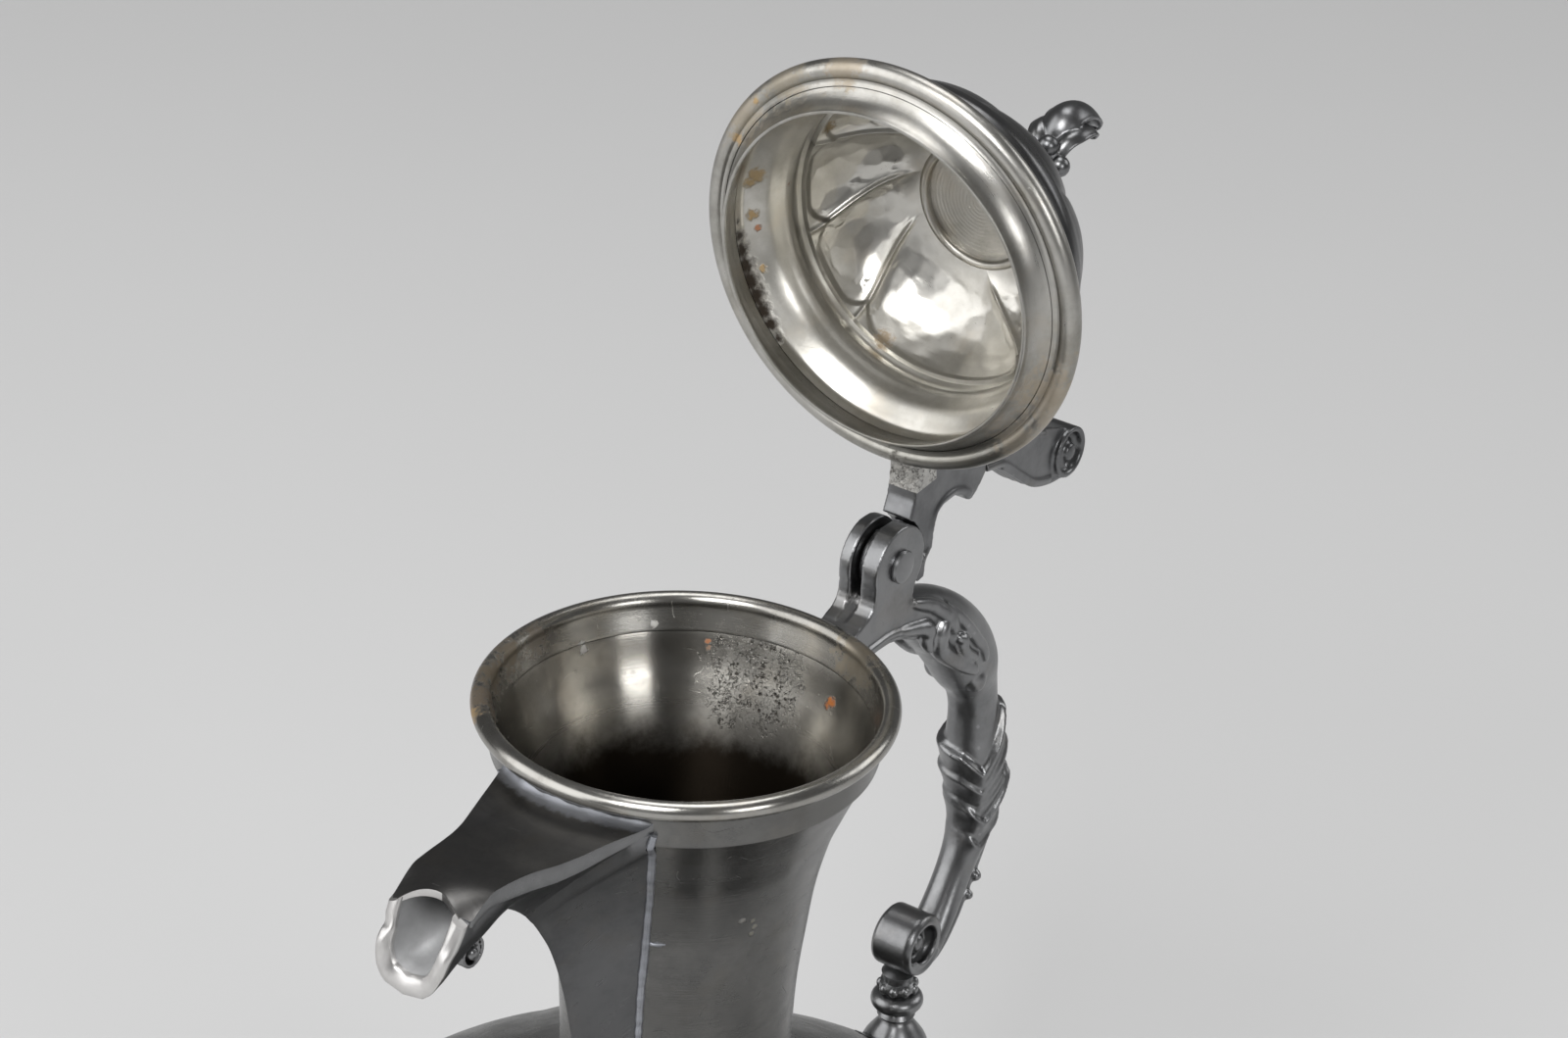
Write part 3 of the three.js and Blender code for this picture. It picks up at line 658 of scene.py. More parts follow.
@dataclass(frozen=True)
class Stain:
    """A patch of dirt or tarnish round a place, in millimetres."""

    place: Point
    radius: float
    colour: Colour
    cover: float = 0.85
    raised: float = 0.0
    ragged: float = 0.8
    metal: float = 0.25

    def spread(self, coat: Coat) -> None:
        """Lays the ragged patch over what is there.

        Args:
            coat: the finish so far.
        """
        net, place = coat.net, coat.place
        away = net.distance(place, self.place)
        crumb = net.noise(place, 1.5 / self.radius**0.5, 6, 0.66) - 0.5
        near = 1.0 - away / self.radius + crumb * (3.4 * self.ragged)
        within = net.ease(away, self.radius * 1.1, self.radius * 1.7, 1.0, 0.0)
        on = net.ease(near, -0.05, 0.6) * self.cover * within
        coat.tint(on, self.colour)
        coat.roughen(on, 0.2)
        coat.metal = coat.metal - on * (coat.metal * (1.0 - self.metal))
        if self.raised:
            coat.bump(on, self.raised)


TAN = (0.42, 0.27, 0.1)
RUST = (0.42, 0.13, 0.02)
UMBER = (0.02, 0.012, 0.006)
# Near-black colour for the painted shade deep in the throat.
DEPTH_SHADE = (0.014, 0.011, 0.008)
CRUMBS = (0.8, 0.78, 0.74)
WARMTH = (1.05, 0.89, 0.68)
GRAIN_NOISE = {Grain.PLANISHED: (0.9, 3, 0.6), Grain.CAST: (1.1, 5, 0.65), Grain.SOLDER: (2.6, 4, 0.7)}


@dataclass(frozen=True)
class Pewter:
    """A pewter finish: its tone, tarnish, fine marks and stains, and any painted shade in its depths."""

    name: str
    tone: Colour
    tarnish: Colour
    rough: float = 0.34
    grain: Grain = Grain.TURNED
    lines: float = 0.012
    cloud: float = 0.5
    upright: float = 0.0
    pits: float = 0.0
    scratches: float = 0.5
    edge: float = 0.0
    metal: float = 1.0
    brushed: float = 0.0
    solder_reach: float = 0.0
    on_lid: bool = False
    stains: tuple[Stain, ...] = ()
    pitted: tuple[float, float, float, float] = (0.0, 0.0, 0.0, 1000.0)
    # Heights over which the surface is painted from its own colour to near-black, as painted shade deep in the
    # throat.
    shade_heights: Pair = (0.0, 0.0)

    def material(self) -> bpy.types.Material:
        """The material of this finish, made once."""
        return bpy.data.materials.get(self.name) or self._wire()

    def _toned(self, *factors: float) -> Colour:
        """The tone with each part changed by a factor."""
        return tuple(min(1.0, c * k) for c, k in zip(self.tone, factors))

    def _place(self, net: Tree) -> Wire:
        """Places in millimetres from the mouth's middle, with the lid turned back shut.

        Args:
            net: the material being wired.

        Returns:
            The places.
        """
        spot = net.out("TexCoord", {}, "Object")
        spot = net.out("Mapping", {"Vector": spot, "Scale": (1 / MM,) * 3, "Location": (0, 0, -MOUTH_Z)})
        if not self.on_lid:
            return spot
        back = Matrix.Rotation(math.radians(-OPEN_DEGREES), 3, "Y")
        pin = Vector((HINGE_X, 0, HINGE_Z))
        turn = {"Vector": spot, "Rotation": (0, math.radians(-OPEN_DEGREES), 0), "Location": pin - back @ pin}
        return net.out("Mapping", turn)

    def _wire(self) -> bpy.types.Material:
        """Wires the whole finish.

        Returns:
            Its material.
        """
        made = bpy.data.materials.new(self.name)
        made.use_nodes = True
        net = Tree(made.node_tree)
        place = self._place(net)
        x, y, height = net.split(place)
        radius = net.math("SQRT", x * x + y * y)
        safe = net.math("MAXIMUM", radius, 0.5)
        cos, sin, rise = x / safe, y / safe, height + radius * 1.3
        turned_marks = net.noise(net.vector(cos * 3.0, sin * 3.0, rise * 3.2), 1.0, 5, 0.75)
        patches = net.noise(place, 0.16, 6, 0.68)
        fine = net.noise(place, 2.6, 4, 0.7)
        veil = net.ease(net.noise(place, 0.045, 5, 0.6) * 0.55 + patches * 0.45, 0.42, 0.62)
        tinge = net.ease(net.noise(place, 0.11, 4, 0.6), 0.52, 0.7)
        colour = net.blend(veil * self.cloud, self.tone, self.tarnish)
        colour = net.blend(tinge * (0.22 * self.cloud), colour, self._toned(*WARMTH))
        rough = (patches - 0.5) * 0.22 + self.rough + (turned_marks - 0.5) * 0.16
        coat = Coat(net, place, colour, rough, net.math("ADD", self.metal, 0.0))
        marks = turned_marks if self.grain is Grain.TURNED else net.noise(place, *GRAIN_NOISE[self.grain])
        coat.bump(marks, self.lines)
        if self.upright:
            drawn = net.noise(net.vector(cos * 90.0, sin * 90.0, rise * 0.09), 1.0, 4, 0.7)
            coat.bump(drawn * net.ease(net.noise(place, 0.06, 2), 0.42, 0.58), self.upright)
        if self.scratches:
            self._scratch(coat)
        if self.pits:
            self._pit(coat, fine)
        if self.edge:
            point = net.out("NewGeometry", {}, "Pointiness")
            coat.tint(net.ease(point, 0.38, 0.49, self.edge, 0.0), self._toned(0.16, 0.16, 0.16))
            coat.tint(net.ease(point, 0.53, 0.62, 0.0, self.edge), self._toned(1.45, 1.45, 1.45))
        if self.solder_reach:
            edge = radius + (net.noise(place, 0.5, 5, 0.6) - 0.5) * 2.6
            on = net.ease(edge, self.solder_reach - 0.9, self.solder_reach + 0.5, 1.0, 0.0)
            coat.tint(on * 0.9, SOLDER.tone)
            coat.roughen(on, 0.1)
            coat.bump(fine * on, SOLDER.lines)
        for stain in self.stains:
            stain.spread(coat)
        # Painted shade: below a height the surface is painted near-black, darker towards the bottom, standing in for
        # the shadow deep in the throat.
        if self.shade_heights[0] != self.shade_heights[1]:
            dark = net.ease(height + (patches - 0.5) * 9.0, *self.shade_heights)
            coat.tint(dark, DEPTH_SHADE)
            coat.roughen(dark, 0.25)
        inputs = {"Base Color": coat.colour, "Roughness": coat.rough, "Metallic": coat.metal, "Normal": coat.normal}
        if self.brushed:
            inputs |= {"Anisotropic": self.brushed, "Anisotropic Rotation": 0.25}
        net.end(net.out("BsdfPrincipled", inputs | {"IOR": 1.5}))
        return made

    def _scratch(self, coat: Coat) -> None:
        """Thin stray scratches, as broken contour lines of a slow noise.

        Args:
            coat: the finish so far.
        """
        net = coat.net
        slow = net.noise(coat.place, 0.055, 1, 0.4)
        line = net.math("ABSOLUTE", net.math("FRACT", slow * 9.0) - 0.5)
        broken = net.ease(net.noise(coat.place, 0.3, 2), 0.55, 0.62)
        deep = net.ease(line, 0.0, 0.012, 1.0, 0.0) * broken * self.scratches
        coat.bump(1.0 - deep, 0.02)
        coat.roughen(deep, 0.15)

    def _pit(self, coat: Coat, fine: Wire) -> None:
        """Pits and bright crumbs of corrosion, in one patch or all over.

        Args:
            coat: the finish so far.
            fine: a fine noise.
        """
        net, place = coat.net, coat.place
        *middle, reach = self.pitted
        stray = (net.noise(place, 0.35, 4, 0.6) - 0.5) * (reach * 1.6)
        inside = net.ease(net.distance(place, tuple(middle)) + stray, reach * 0.5, reach, 1.0, 0.0)
        hole = net.out("TexVoronoi", {"Vector": place, "Scale": 0.95, "Randomness": 1.0}, "Distance", feature="F1")
        worm = net.math("ABSOLUTE", net.noise(place, 0.8, 3, 0.6) - 0.5)
        deep = net.math("MAXIMUM", net.ease(hole, 0.12, 0.34, 1.0, 0.0), net.ease(worm, 0.008, 0.03, 1.0, 0.0))
        deep = deep * inside * net.ease(net.noise(place, 0.5, 2), 0.42, 0.55)
        crumbs = net.ease(fine, 0.56, 0.66) * inside
        coat.bump(1.0 - deep, self.pits)
        coat.bump(crumbs, self.pits * 0.8)
        coat.tint(deep * 0.75, UMBER)
        coat.tint(crumbs * 0.7, CRUMBS)
        coat.roughen(inside, 0.08)


def spots(*rows: tuple) -> tuple[Stain, ...]:
    """Stains on round pieces.

    Args:
        rows: angle in degrees, distance from the axis and height, then a stain's own values after its place.

    Returns:
        The stains.
    """
    return tuple(
        Stain((r * math.cos(math.radians(a)), r * math.sin(math.radians(a)), z), *rest) for a, r, z, *rest in rows
    )


RIM_STAINS = spots(
    (131, 34.4, 0.2, 5.5, (0.22, 0.145, 0.07), 0.6, 0.03, 0.8, 0.6),
    (117, 32.4, 0.6, 4.6, (0.2, 0.14, 0.07), 0.6, 0.04, 0.8, 0.6),
    (103, 32.0, 0.4, 4.4, (0.2, 0.14, 0.07), 0.55, 0.04, 0.85, 0.6),
    (89, 31.9, 0.0, 3.6, (0.17, 0.12, 0.07), 0.45, 0.0, 0.9, 0.7),
    (138, 35.0, 0.2, 2.4, TAN, 0.6, 0.05, 0.8, 0.5),
    (82, 31.4, -1.4, 1.2, (0.07, 0.06, 0.05), 0.6, 0.0, 1.0, 0.5),
    (-26, 31.9, 0.2, 7.0, (0.3, 0.23, 0.13), 0.4, 0.0, 0.9, 0.7),
    (47, 31.0, -3.2, 0.75, (0.66, 0.65, 0.62), 0.75, 0.05, 0.5, 0.5),
    (71.8, 30.4, -4.4, 0.8, (0.66, 0.65, 0.62), 0.7, 0.06, 0.9, 0.5),
)
THROAT_STAINS = spots(
    (-20.4, 29.0, -8.9, 1.15, RUST, 0.95, 0.1, 0.7),
    (-19.0, 28.8, -9.8, 0.7, RUST, 0.85, 0.1, 0.7),
    (29.6, 30.0, -5.9, 0.55, RUST, 0.75, 0.0, 0.9),
    (29.2, 29.7, -6.9, 0.5, (0.3, 0.14, 0.05), 0.6, 0.0, 0.9),
    (71.4, 30.2, -5.2, 0.9, (0.66, 0.65, 0.62), 0.7, 0.06, 0.9, 0.5),
)
DOME_STAINS = spots(
    (104, 30.2, 8.2, 1.8, (0.4, 0.27, 0.11), 0.8, 0.12, 0.5),
    (101, 30.6, 7.2, 1.3, (0.46, 0.32, 0.14), 0.8, 0.12, 0.5),
    (89, 30.3, 8.0, 1.25, TAN, 0.85, 0.1, 0.6),
    (84, 29.9, 8.8, 0.7, RUST, 0.8, 0.1, 0.6),
    (70, 30.2, 8.2, 0.9, TAN, 0.8, 0.1, 0.8),
    (120, 26.8, 20.2, 1.7, (0.3, 0.2, 0.08), 0.8, 0.1, 0.5),
    (25, 26.9, 19.6, 2.2, (0.26, 0.17, 0.07), 0.7, 0.0, 0.6),
    (77, 26.6, 20.4, 1.2, (0.24, 0.16, 0.07), 0.6, 0.0, 0.6),
    (98, 27.6, 14.0, 0.8, (0.3, 0.15, 0.08), 0.7, 0.0, 0.8),
    *(
        (a, 31.0, 5.6, r, UMBER, 1.0, 0.1, 0.3, 0.0)
        for a, r in zip(range(88, 47, -5), (1.0, 1.6, 2.1, 2.3, 2.5, 2.5, 2.3, 2.0, 1.4))
    ),
)
LID_RIM_STAINS = spots(
    (126, 36.4, 4.0, 7.0, (0.36, 0.29, 0.19), 0.5, 0.06, 0.85, 0.6),
    (146, 36.2, 3.9, 6.0, (0.33, 0.27, 0.18), 0.45, 0.06, 0.85, 0.6),
    (118, 33.6, 3.6, 1.3, TAN, 0.75, 0.06, 0.6, 0.4),
    (133, 35.2, 3.4, 0.8, TAN, 0.7, 0.06, 0.6, 0.4),
    (166, 36.0, 3.8, 5.0, (0.34, 0.26, 0.16), 0.5, 0.06, 0.85, 0.6),
    (292, 35.4, 3.6, 8.0, (0.42, 0.34, 0.24), 0.5, 0.06, 0.9, 0.6),
    (312, 35.4, 3.6, 6.0, (0.42, 0.34, 0.24), 0.4, 0.06, 0.9, 0.6),
    (356, 36.2, 5.6, 3.2, (0.07, 0.06, 0.05), 0.75, 0.06, 0.8, 0.4),
)

NECK_STAINS = (
    Stain((-11.2, -20.7, -28.2), 0.75, (0.3, 0.29, 0.27), 0.8, 0.06, 0.45, 0.6),
    Stain((-9.3, -21.4, -28.9), 0.55, (0.26, 0.25, 0.21), 0.75, 0.06, 0.6, 0.5),
    Stain((-8.6, -21.3, -30.3), 0.6, (0.26, 0.25, 0.21), 0.8, 0.06, 0.6, 0.5),
    Stain((-8.9, -20.9, -31.7), 0.6, (0.26, 0.25, 0.21), 0.75, 0.06, 0.6, 0.5),
    Stain((-19.9, -10.4, -32.4), 0.75, (0.3, 0.32, 0.36), 0.7, 0.05, 0.8, 0.5),
)

NECK_OUTSIDE = Pewter(
    "satin_neck", (0.17, 0.168, 0.162), (0.1, 0.1, 0.1), 0.24, lines=0.02, cloud=0.45, upright=0.006,
    scratches=1.0, brushed=0.75, stains=NECK_STAINS,
)
# The throat is painted into near-black shade from -12.5 mm down to -24 mm.
NECK_INSIDE = Pewter(
    "throat", (0.31, 0.299, 0.274), (0.14, 0.135, 0.124), 0.22, lines=0.014, cloud=0.5, upright=0.03, pits=0.3,
    brushed=0.85, stains=THROAT_STAINS, pitted=(27.6, 5.5, -10.5, 10.5), shade_heights=(-12.5, -24.0),
)
BELLY = Pewter(
    "satin_belly", (0.16, 0.159, 0.154), (0.1, 0.1, 0.1), 0.28, lines=0.018, cloud=0.5, scratches=0.8, brushed=0.5,
)
RUBBED_RIM = Pewter(
    "rubbed_rim", (0.37, 0.362, 0.34), (0.2, 0.19, 0.17), 0.25, lines=0.012, cloud=0.6, brushed=0.65,
    stains=RIM_STAINS,
)
SPOUT_SIDE = Pewter(
    "drawn_spout", (0.19, 0.192, 0.196), (0.11, 0.113, 0.12), 0.31, lines=0.02, cloud=0.6, upright=0.02,
    scratches=0.9,
)
SOLDER = Pewter(
    "solder", (0.36, 0.372, 0.405), (0.2, 0.207, 0.226), 0.42, grain=Grain.SOLDER, lines=0.05, cloud=0.8,
    scratches=0.0, metal=0.7,
)
SPOUT_TOP = Pewter(
    "dark_cover", (0.135, 0.132, 0.128), (0.075, 0.075, 0.076), 0.32, lines=0.01, cloud=0.7, scratches=0.9,
    solder_reach=34.3,
)
SPOUT_EDGE = Pewter("rubbed_edge", (0.21, 0.212, 0.215), (0.13, 0.132, 0.136), 0.3, lines=0.008, cloud=0.6)
SPOUT_LIP = Pewter("filed_lip", (0.6, 0.59, 0.58), (0.42, 0.412, 0.405), 0.36, lines=0.008, cloud=0.4)
SPOUT_INSIDE = Pewter(
    "spout_inside", (0.46, 0.462, 0.466), (0.34, 0.342, 0.346), 0.55, lines=0.02, cloud=0.6, metal=0.6,
)
CASTING = Pewter(
    "dark_casting", (0.25, 0.252, 0.256), (0.15, 0.152, 0.156), 0.33, grain=Grain.CAST, lines=0.03, cloud=0.55,
    edge=0.5,
)
LID_INSIDE = Pewter(
    "planished_lid", (0.58, 0.566, 0.53), (0.4, 0.384, 0.342), 0.33, grain=Grain.PLANISHED, lines=0.012, cloud=0.7,
    scratches=0.4, on_lid=True, stains=DOME_STAINS,
)
LID_OUTSIDE = Pewter("dark_lid", (0.15, 0.15, 0.15), (0.08, 0.08, 0.084), 0.3, lines=0.012, cloud=0.7, on_lid=True)
LID_RIM = Pewter(
    "turned_lid_rim", (0.43, 0.42, 0.395), (0.25, 0.242, 0.215), 0.32, lines=0.02, cloud=0.75, on_lid=True,
    stains=LID_RIM_STAINS,
)
LID_RING = Pewter(
    "turned_lid_ring", (0.52, 0.506, 0.466), (0.33, 0.318, 0.28), 0.34, lines=0.04, cloud=0.65, on_lid=True,
    stains=DOME_STAINS,
)
CROWN_INSIDE = Pewter(
    "turned_crown", (0.5, 0.484, 0.448), (0.3, 0.286, 0.252), 0.33, lines=0.03, cloud=0.85, on_lid=True,
)
LID_CASTING = Pewter(
    "lid_casting", (0.2, 0.202, 0.206), (0.1, 0.102, 0.106), 0.32, grain=Grain.CAST, lines=0.02, cloud=0.6,
    edge=0.4, on_lid=True,
)
RAW_CASTING = Pewter(
    "raw_casting", (0.7, 0.69, 0.66), (0.36, 0.35, 0.33), 0.4, grain=Grain.CAST, lines=0.3, cloud=1.0, pits=0.25,
    metal=0.7, on_lid=True,
)


# Pieces made by rules


class Rule(Tree):
    """A geometry-node tree with named inputs."""

    def __init__(self, name: str, finish: Pewter, sizes: dict[str, float]) -> None:
        """Starts a tree with inputs for a geometry, the sizes and the finish.

        Args:
            name: the tree's name.
            finish: the finish set on what the rule makes.
            sizes: a value for each input's name, whole for a whole-number input.
        """
        super().__init__(bpy.data.node_groups.new(name, "GeometryNodeTree"))
        face = self.tree.interface
        for way in ("INPUT", "OUTPUT"):
            face.new_socket("Geometry", in_out=way, socket_type="NodeSocketGeometry")
        kinds = {int: "NodeSocketInt", float: "NodeSocketFloat"}
        self.values: dict[str, object] = {}
        for key, value in (sizes | {"Material": finish.material()}).items():
            socket = face.new_socket(key, in_out="INPUT", socket_type=kinds.get(type(value), "NodeSocketMaterial"))
            self.values[socket.identifier] = value
        self.give = {s.name: Wire(self, s) for s in self.tree.nodes.new("NodeGroupInput").outputs}

    def dress(self, geometry: Wire) -> "Rule":
        """Realizes the instances, sets the material and ends the tree.

        Args:
            geometry: what the rule has made.

        Returns:
            The rule itself.
        """
        real = self.out("GeometryNodeRealizeInstances", {0: geometry})
        material = self.give["Material"]
        self.end(self.out("GeometryNodeSetMaterial", {"Geometry": real, "Material": material}), "NodeGroupOutput")
        return self

    def applied(self, start: Surface, on_lid: bool = False) -> bpy.types.Mesh:
        """Runs the rule on a start and keeps the plain result.

        Args:
            start: what the rule works on, in millimetres.
            on_lid: True where the start is drawn on the shut lid.

        Returns:
            A mesh in place, of an object that is removed with its modifier.
        """
        thing = linked("start", start.placed(on_lid).mesh("start"))
        modifier = thing.modifiers.new("rule", "NODES")
        modifier.node_group = self.tree
        for identifier, value in self.values.items():
            modifier[identifier] = value
        thing.update_tag()
        bpy.context.view_layer.update()
        return baked(thing)


@dataclass(frozen=True)
class SwirlRule:
    """The lobes that swirl round the belly: their number, turn and crease."""

    lobes: int = 9
    swirl: float = 62.0
    crease: float = 1.5
    bottom: float = -197.0
    top: float = -88.0

    def depth_and_turn(self, z: np.ndarray) -> tuple[np.ndarray, np.ndarray]:
        """Crease depth in millimetres and turn in degrees at a height."""
        t = np.clip((z - self.bottom) / (self.top - self.bottom), 0, 1)
        return self.crease * np.sqrt(np.sin(math.pi * t)), self.swirl * smooth_step(0, 1, t)

    def sunk(self, degrees: np.ndarray, z: np.ndarray) -> np.ndarray:
        """How far the surface lies inside its round outline, in millimetres.

        Args:
            degrees: angles round the axis.
            z: heights.

        Returns:
            The depths there.
        """
        depth, turn = self.depth_and_turn(z)
        phase = np.mod((degrees - turn) * self.lobes / 360.0, 1.0)
        return depth * (1 - np.sqrt(np.sin(math.pi * phase)))

    def rule(self, finish: Pewter) -> Rule:
        """The geometry-node tree that presses the lobes into a round shell.

        Args:
            finish: the finish set on the result.

        Returns:
            The rule.
        """
        made = Rule("belly_swirl", finish, {
            "Lobes": float(self.lobes),
            "Swirl": math.radians(self.swirl),
            "Crease": self.crease * MM,
            "Bottom": (self.bottom + MOUTH_Z) * MM,
            "Top": (self.top + MOUTH_Z) * MM,
        })
        give, sum_up = made.give, made.math
        x, y, z = made.split(made.out("GeometryNodeInputPosition", {}))
        t = made.out("MapRange", {"Value": z, "From Min": give["Bottom"], "From Max": give["Top"]}, "Result")
        angle = sum_up("ARCTAN2", y, x) - made.ease(t, 0.0, 1.0) * give["Swirl"]
        phase = sum_up("FRACT", angle * (give["Lobes"] / TURN) + 64.0)
        swell, reach = [
            sum_up("SQRT", sum_up("MAXIMUM", sum_up("SINE", share * math.pi), 0.0)) for share in (phase, t)
        ]
        sink = give["Crease"] * reach * (1.0 - swell)
        radius = sum_up("MAXIMUM", sum_up("SQRT", x * x + y * y), 1e-5)
        ratio = sum_up("MAXIMUM", radius - sink, 0.0) / radius
        pressed = made.vector(x * ratio, y * ratio, z)
        return made.dress(made.out("GeometryNodeSetPosition", {"Geometry": give["Geometry"], "Position": pressed}))


def ring_of_beads(name: str, facets: int, stray: float, bead: float, squash: float, finish: Pewter) -> Rule:
    """A rule that sets beads on every point of its start.

    Args:
        name: the tree's name.
        facets: the number of facets round each bead.
        stray: how far each bead may stray, in millimetres.
        bead: a bead's radius, in millimetres.
        squash: a bead's height against its width.
        finish: the finish set on the beads.

    Returns:
        The rule.
    """
    sizes = {"Facets": facets, "Stray": stray * MM, "Bead": bead * MM, "Squash": squash, "Seed": SEED}
    made = Rule(name, finish, sizes)
    give = made.give
    sphere = made.out("GeometryNodeMeshUVSphere", {"Segments": give["Facets"], "Rings": 8, "Radius": give["Bead"]})
    back = give["Stray"] * -1.0
    span = {0: made.vector(back, back, back), 1: made.vector(*[give["Stray"]] * 3), "Seed": give["Seed"]}
    jitter = made.out("FunctionNodeRandomValue", span, data_type="FLOAT_VECTOR")
    strewn = made.out("GeometryNodeSetPosition", {"Geometry": give["Geometry"], "Offset": jitter})
    size = made.vector(1.0, 1.0, give["Squash"])
    return made.dress(made.out("GeometryNodeInstanceOnPoints", {"Points": strewn, "Instance": sphere, "Scale": size}))


def solder_rule(name: str, width: float, uneven: float, finish: Pewter) -> Rule:
    """A rule that lays an uneven bead of solder along its start line.

    Args:
        name: the tree's name.
        width: the bead's mean radius, in millimetres.
        uneven: how much that radius changes, as a share of it.
        finish: the finish set on the solder.

    Returns:
        The rule.
    """
    made = Rule(name, finish, {"Width": width * MM, "Uneven": uneven, "Grain": 420.0})
    give = made.give
    curve = made.out("GeometryNodeMeshToCurve", {0: give["Geometry"]})
    fine = made.out("GeometryNodeResampleCurve", {"Curve": curve, "Length": 0.35 * MM}, mode="LENGTH")
    noise = made.noise(made.out("GeometryNodeInputPosition", {}), give["Grain"], 2.0, 0.5)
    swing = (noise - 0.5) * (give["Uneven"] * 3.0)
    radius = made.math("MAXIMUM", swing + 1.0, 0.15) * give["Width"]
    sized = made.out("GeometryNodeSetCurveRadius", {"Curve": fine, "Radius": radius})
    circle = made.out("GeometryNodeCurvePrimitiveCircle", {"Resolution": 8, "Radius": 1.0}, "Curve")
    scale = made.out("GeometryNodeInputRadius", {})
    tube = {"Curve": sized, "Profile Curve": circle, "Scale": scale, "Fill Caps": True}
    return made.dress(made.out("GeometryNodeCurveToMesh", tube))


# Body of the jug

NECK_LINE = Profile((
    (-8.1, 31.1), (-12.6, 28.9), (-16.8, 27.1), (-22, 25.05), (-31.5, 22.7), (-41.6, 21.3),
    (-51.5, 20.2), (-61, 19.75), (-69, 19.7), (-75, 20.3), (-80, 21.9), (-84, 24.4),
))
COLLAR_FOOT = -7.8
COLLAR_OUTER = 32.0
SWIRL = SwirlRule()


def neck_radius(z: np.ndarray | float) -> np.ndarray:
    """Outer radius of the neck, or of the collar round its top."""
    z = np.atleast_1d(z)
    return np.where(z > COLLAR_FOOT - 0.8, COLLAR_OUTER + 0.2, NECK_LINE(z)[:, 0])


@dataclass
class Neck:
    """The flaring throat and the collar with the mouth's bead."""

    bead_centre: Pair = (33.4, 0.0)
    bead_radius: float = 1.6
    collar_inner: float = 30.8
    bottom: float = -84.0
    hole: tuple[Pair, ...] = ((8.5, -12), (7.6, -20), (5.6, -30), (3.4, -40), (2.4, -44), (0, -46))

    def build(self) -> None:
        """Makes and dresses the throat and its collar."""
        lap = self.collar_inner - 0.1
        heights = np.linspace(self.bottom, COLLAR_FOOT - 0.3, 74)
        radii = NECK_LINE(heights)[:, 0]
        outer = list(zip(radii, heights))
        inner = [(r - SHEET, z) for r, z in reversed(outer[:-2])]
        flush = [(30.52, -4.38), (30.46, -4.52), (30.1, -5.6), (29.75, -6.8), (29.3, -8.2)]
        inner = [(r, z) for r, z in inner if z < -9.2]
        outline = [*outer, (lap, COLLAR_FOOT - 0.1), (lap, -4.38), *flush, *inner]
        wall = turned(outline, inner_from=len(outer) + 1)
        side = list(self.hole) + [(-y, z) for y, z in reversed(self.hole[:-1])]
        ring = flow([*side, side[0]], 4)[:-1]
        punch = skin([np.column_stack([np.full(len(ring), x), ring]) for x in (-40.0, -12.0)])
        settle("neck_wall", carved(wall, punch), (NECK_OUTSIDE, NECK_INSIDE), Body.JUG, ["neck"])
        settle("mouth_collar", self._collar(), (RUBBED_RIM, NECK_OUTSIDE), Body.JUG, ["rim_collar"])

    def _collar(self) -> Surface:
        """The collar: a band, a small cove and the half-round bead, with a fine turned step inside.

        Returns:
            A closed surface with the rubbed bead and the plain band as its two finishes.
        """
        inner = self.collar_inner
        band = [(inner, COLLAR_FOOT), (31.6, COLLAR_FOOT), (31.9, COLLAR_FOOT + 0.12), (32.02, COLLAR_FOOT + 0.5)]
        band += [(32.0, -7.0), (32.05, -6.6), (32.1, -4.4), (32.14, -3.2), (32.3, -2.4), (32.55, -1.9)]
        bead = arc(self.bead_centre, self.bead_radius, -58, 182, 26)
        inside = flow([(31.76, -0.45), (31.5, -1.3), (31.16, -2.3), (30.82, -3.3), (30.55, -4.1)], 3)
        collar = turned([*band, *bead, *inside, (30.52, -4.26), (30.62, -4.32), (inner, -4.32)])
        collar.finish = [int(1 <= k // 240 < len(band) - 2) for k in range(len(collar.faces))]
        return collar


@dataclass
class Belly:
    """The swirled bowl in two halves, soldered at its widest line."""

    shoulder: Rows = (
        (23.4, -84.2), (26.4, -85), (30.6, -87), (38.5, -90.6), (49, -95), (60, -100.4), (68.4, -106.4),
        (74.2, -114), (77.3, -124), (78.08, -135.9),
    )
    bowl: Rows = (
        (78.08, -136.1), (77.1, -146), (73.4, -157), (66, -169), (56.6, -180), (45.5, -190), (35, -197), (28, -200.8),
    )

    def build(self) -> None:
        """Makes and dresses both halves."""
        rule = SWIRL.rule(BELLY)
        for name, rows, floor in (("belly_upper", self.shoulder, False), ("belly_lower", self.bowl, True)):
            half = rule.applied(self._wall(rows, floor))
            settle(name + "_shell", half, (BELLY,), Body.JUG, [name])

    def _wall(self, rows: Rows, floor: bool) -> Surface:
        """A round wall along a line that runs from its top down.

        Args:
            rows: (radius, height) points of the outside.
            floor: True where a flat bottom closes it.

        Returns:
            The closed wall.
        """
        line = flow(rows, 7)
        ahead = headings(line)
        inside = line + SHEET * np.column_stack([ahead[:, 1], -ahead[:, 0]])
        outline = [*line[::-1], *inside]
        if floor:
            outline = [(0, line[-1, 1]), *outline, (0, inside[-1, 1])]
        return turned(outline, 36 * SWIRL.lobes)

    def height_at(self, points: np.ndarray) -> np.ndarray:
        """Height of the shoulder's outside under points on it, creases included.

        Args:
            points: places in space, of which x and y count.

        Returns:
            A height for each.
        """
        radius = np.hypot(points[:, 0], points[:, 1])
        degrees = np.degrees(np.arctan2(points[:, 1], points[:, 0]))
        line = Profile(self.shoulder)
        z = line(radius)[:, 0]
        for _ in range(5):
            z = line(radius + SWIRL.sunk(degrees, z))[:, 0]
        return z


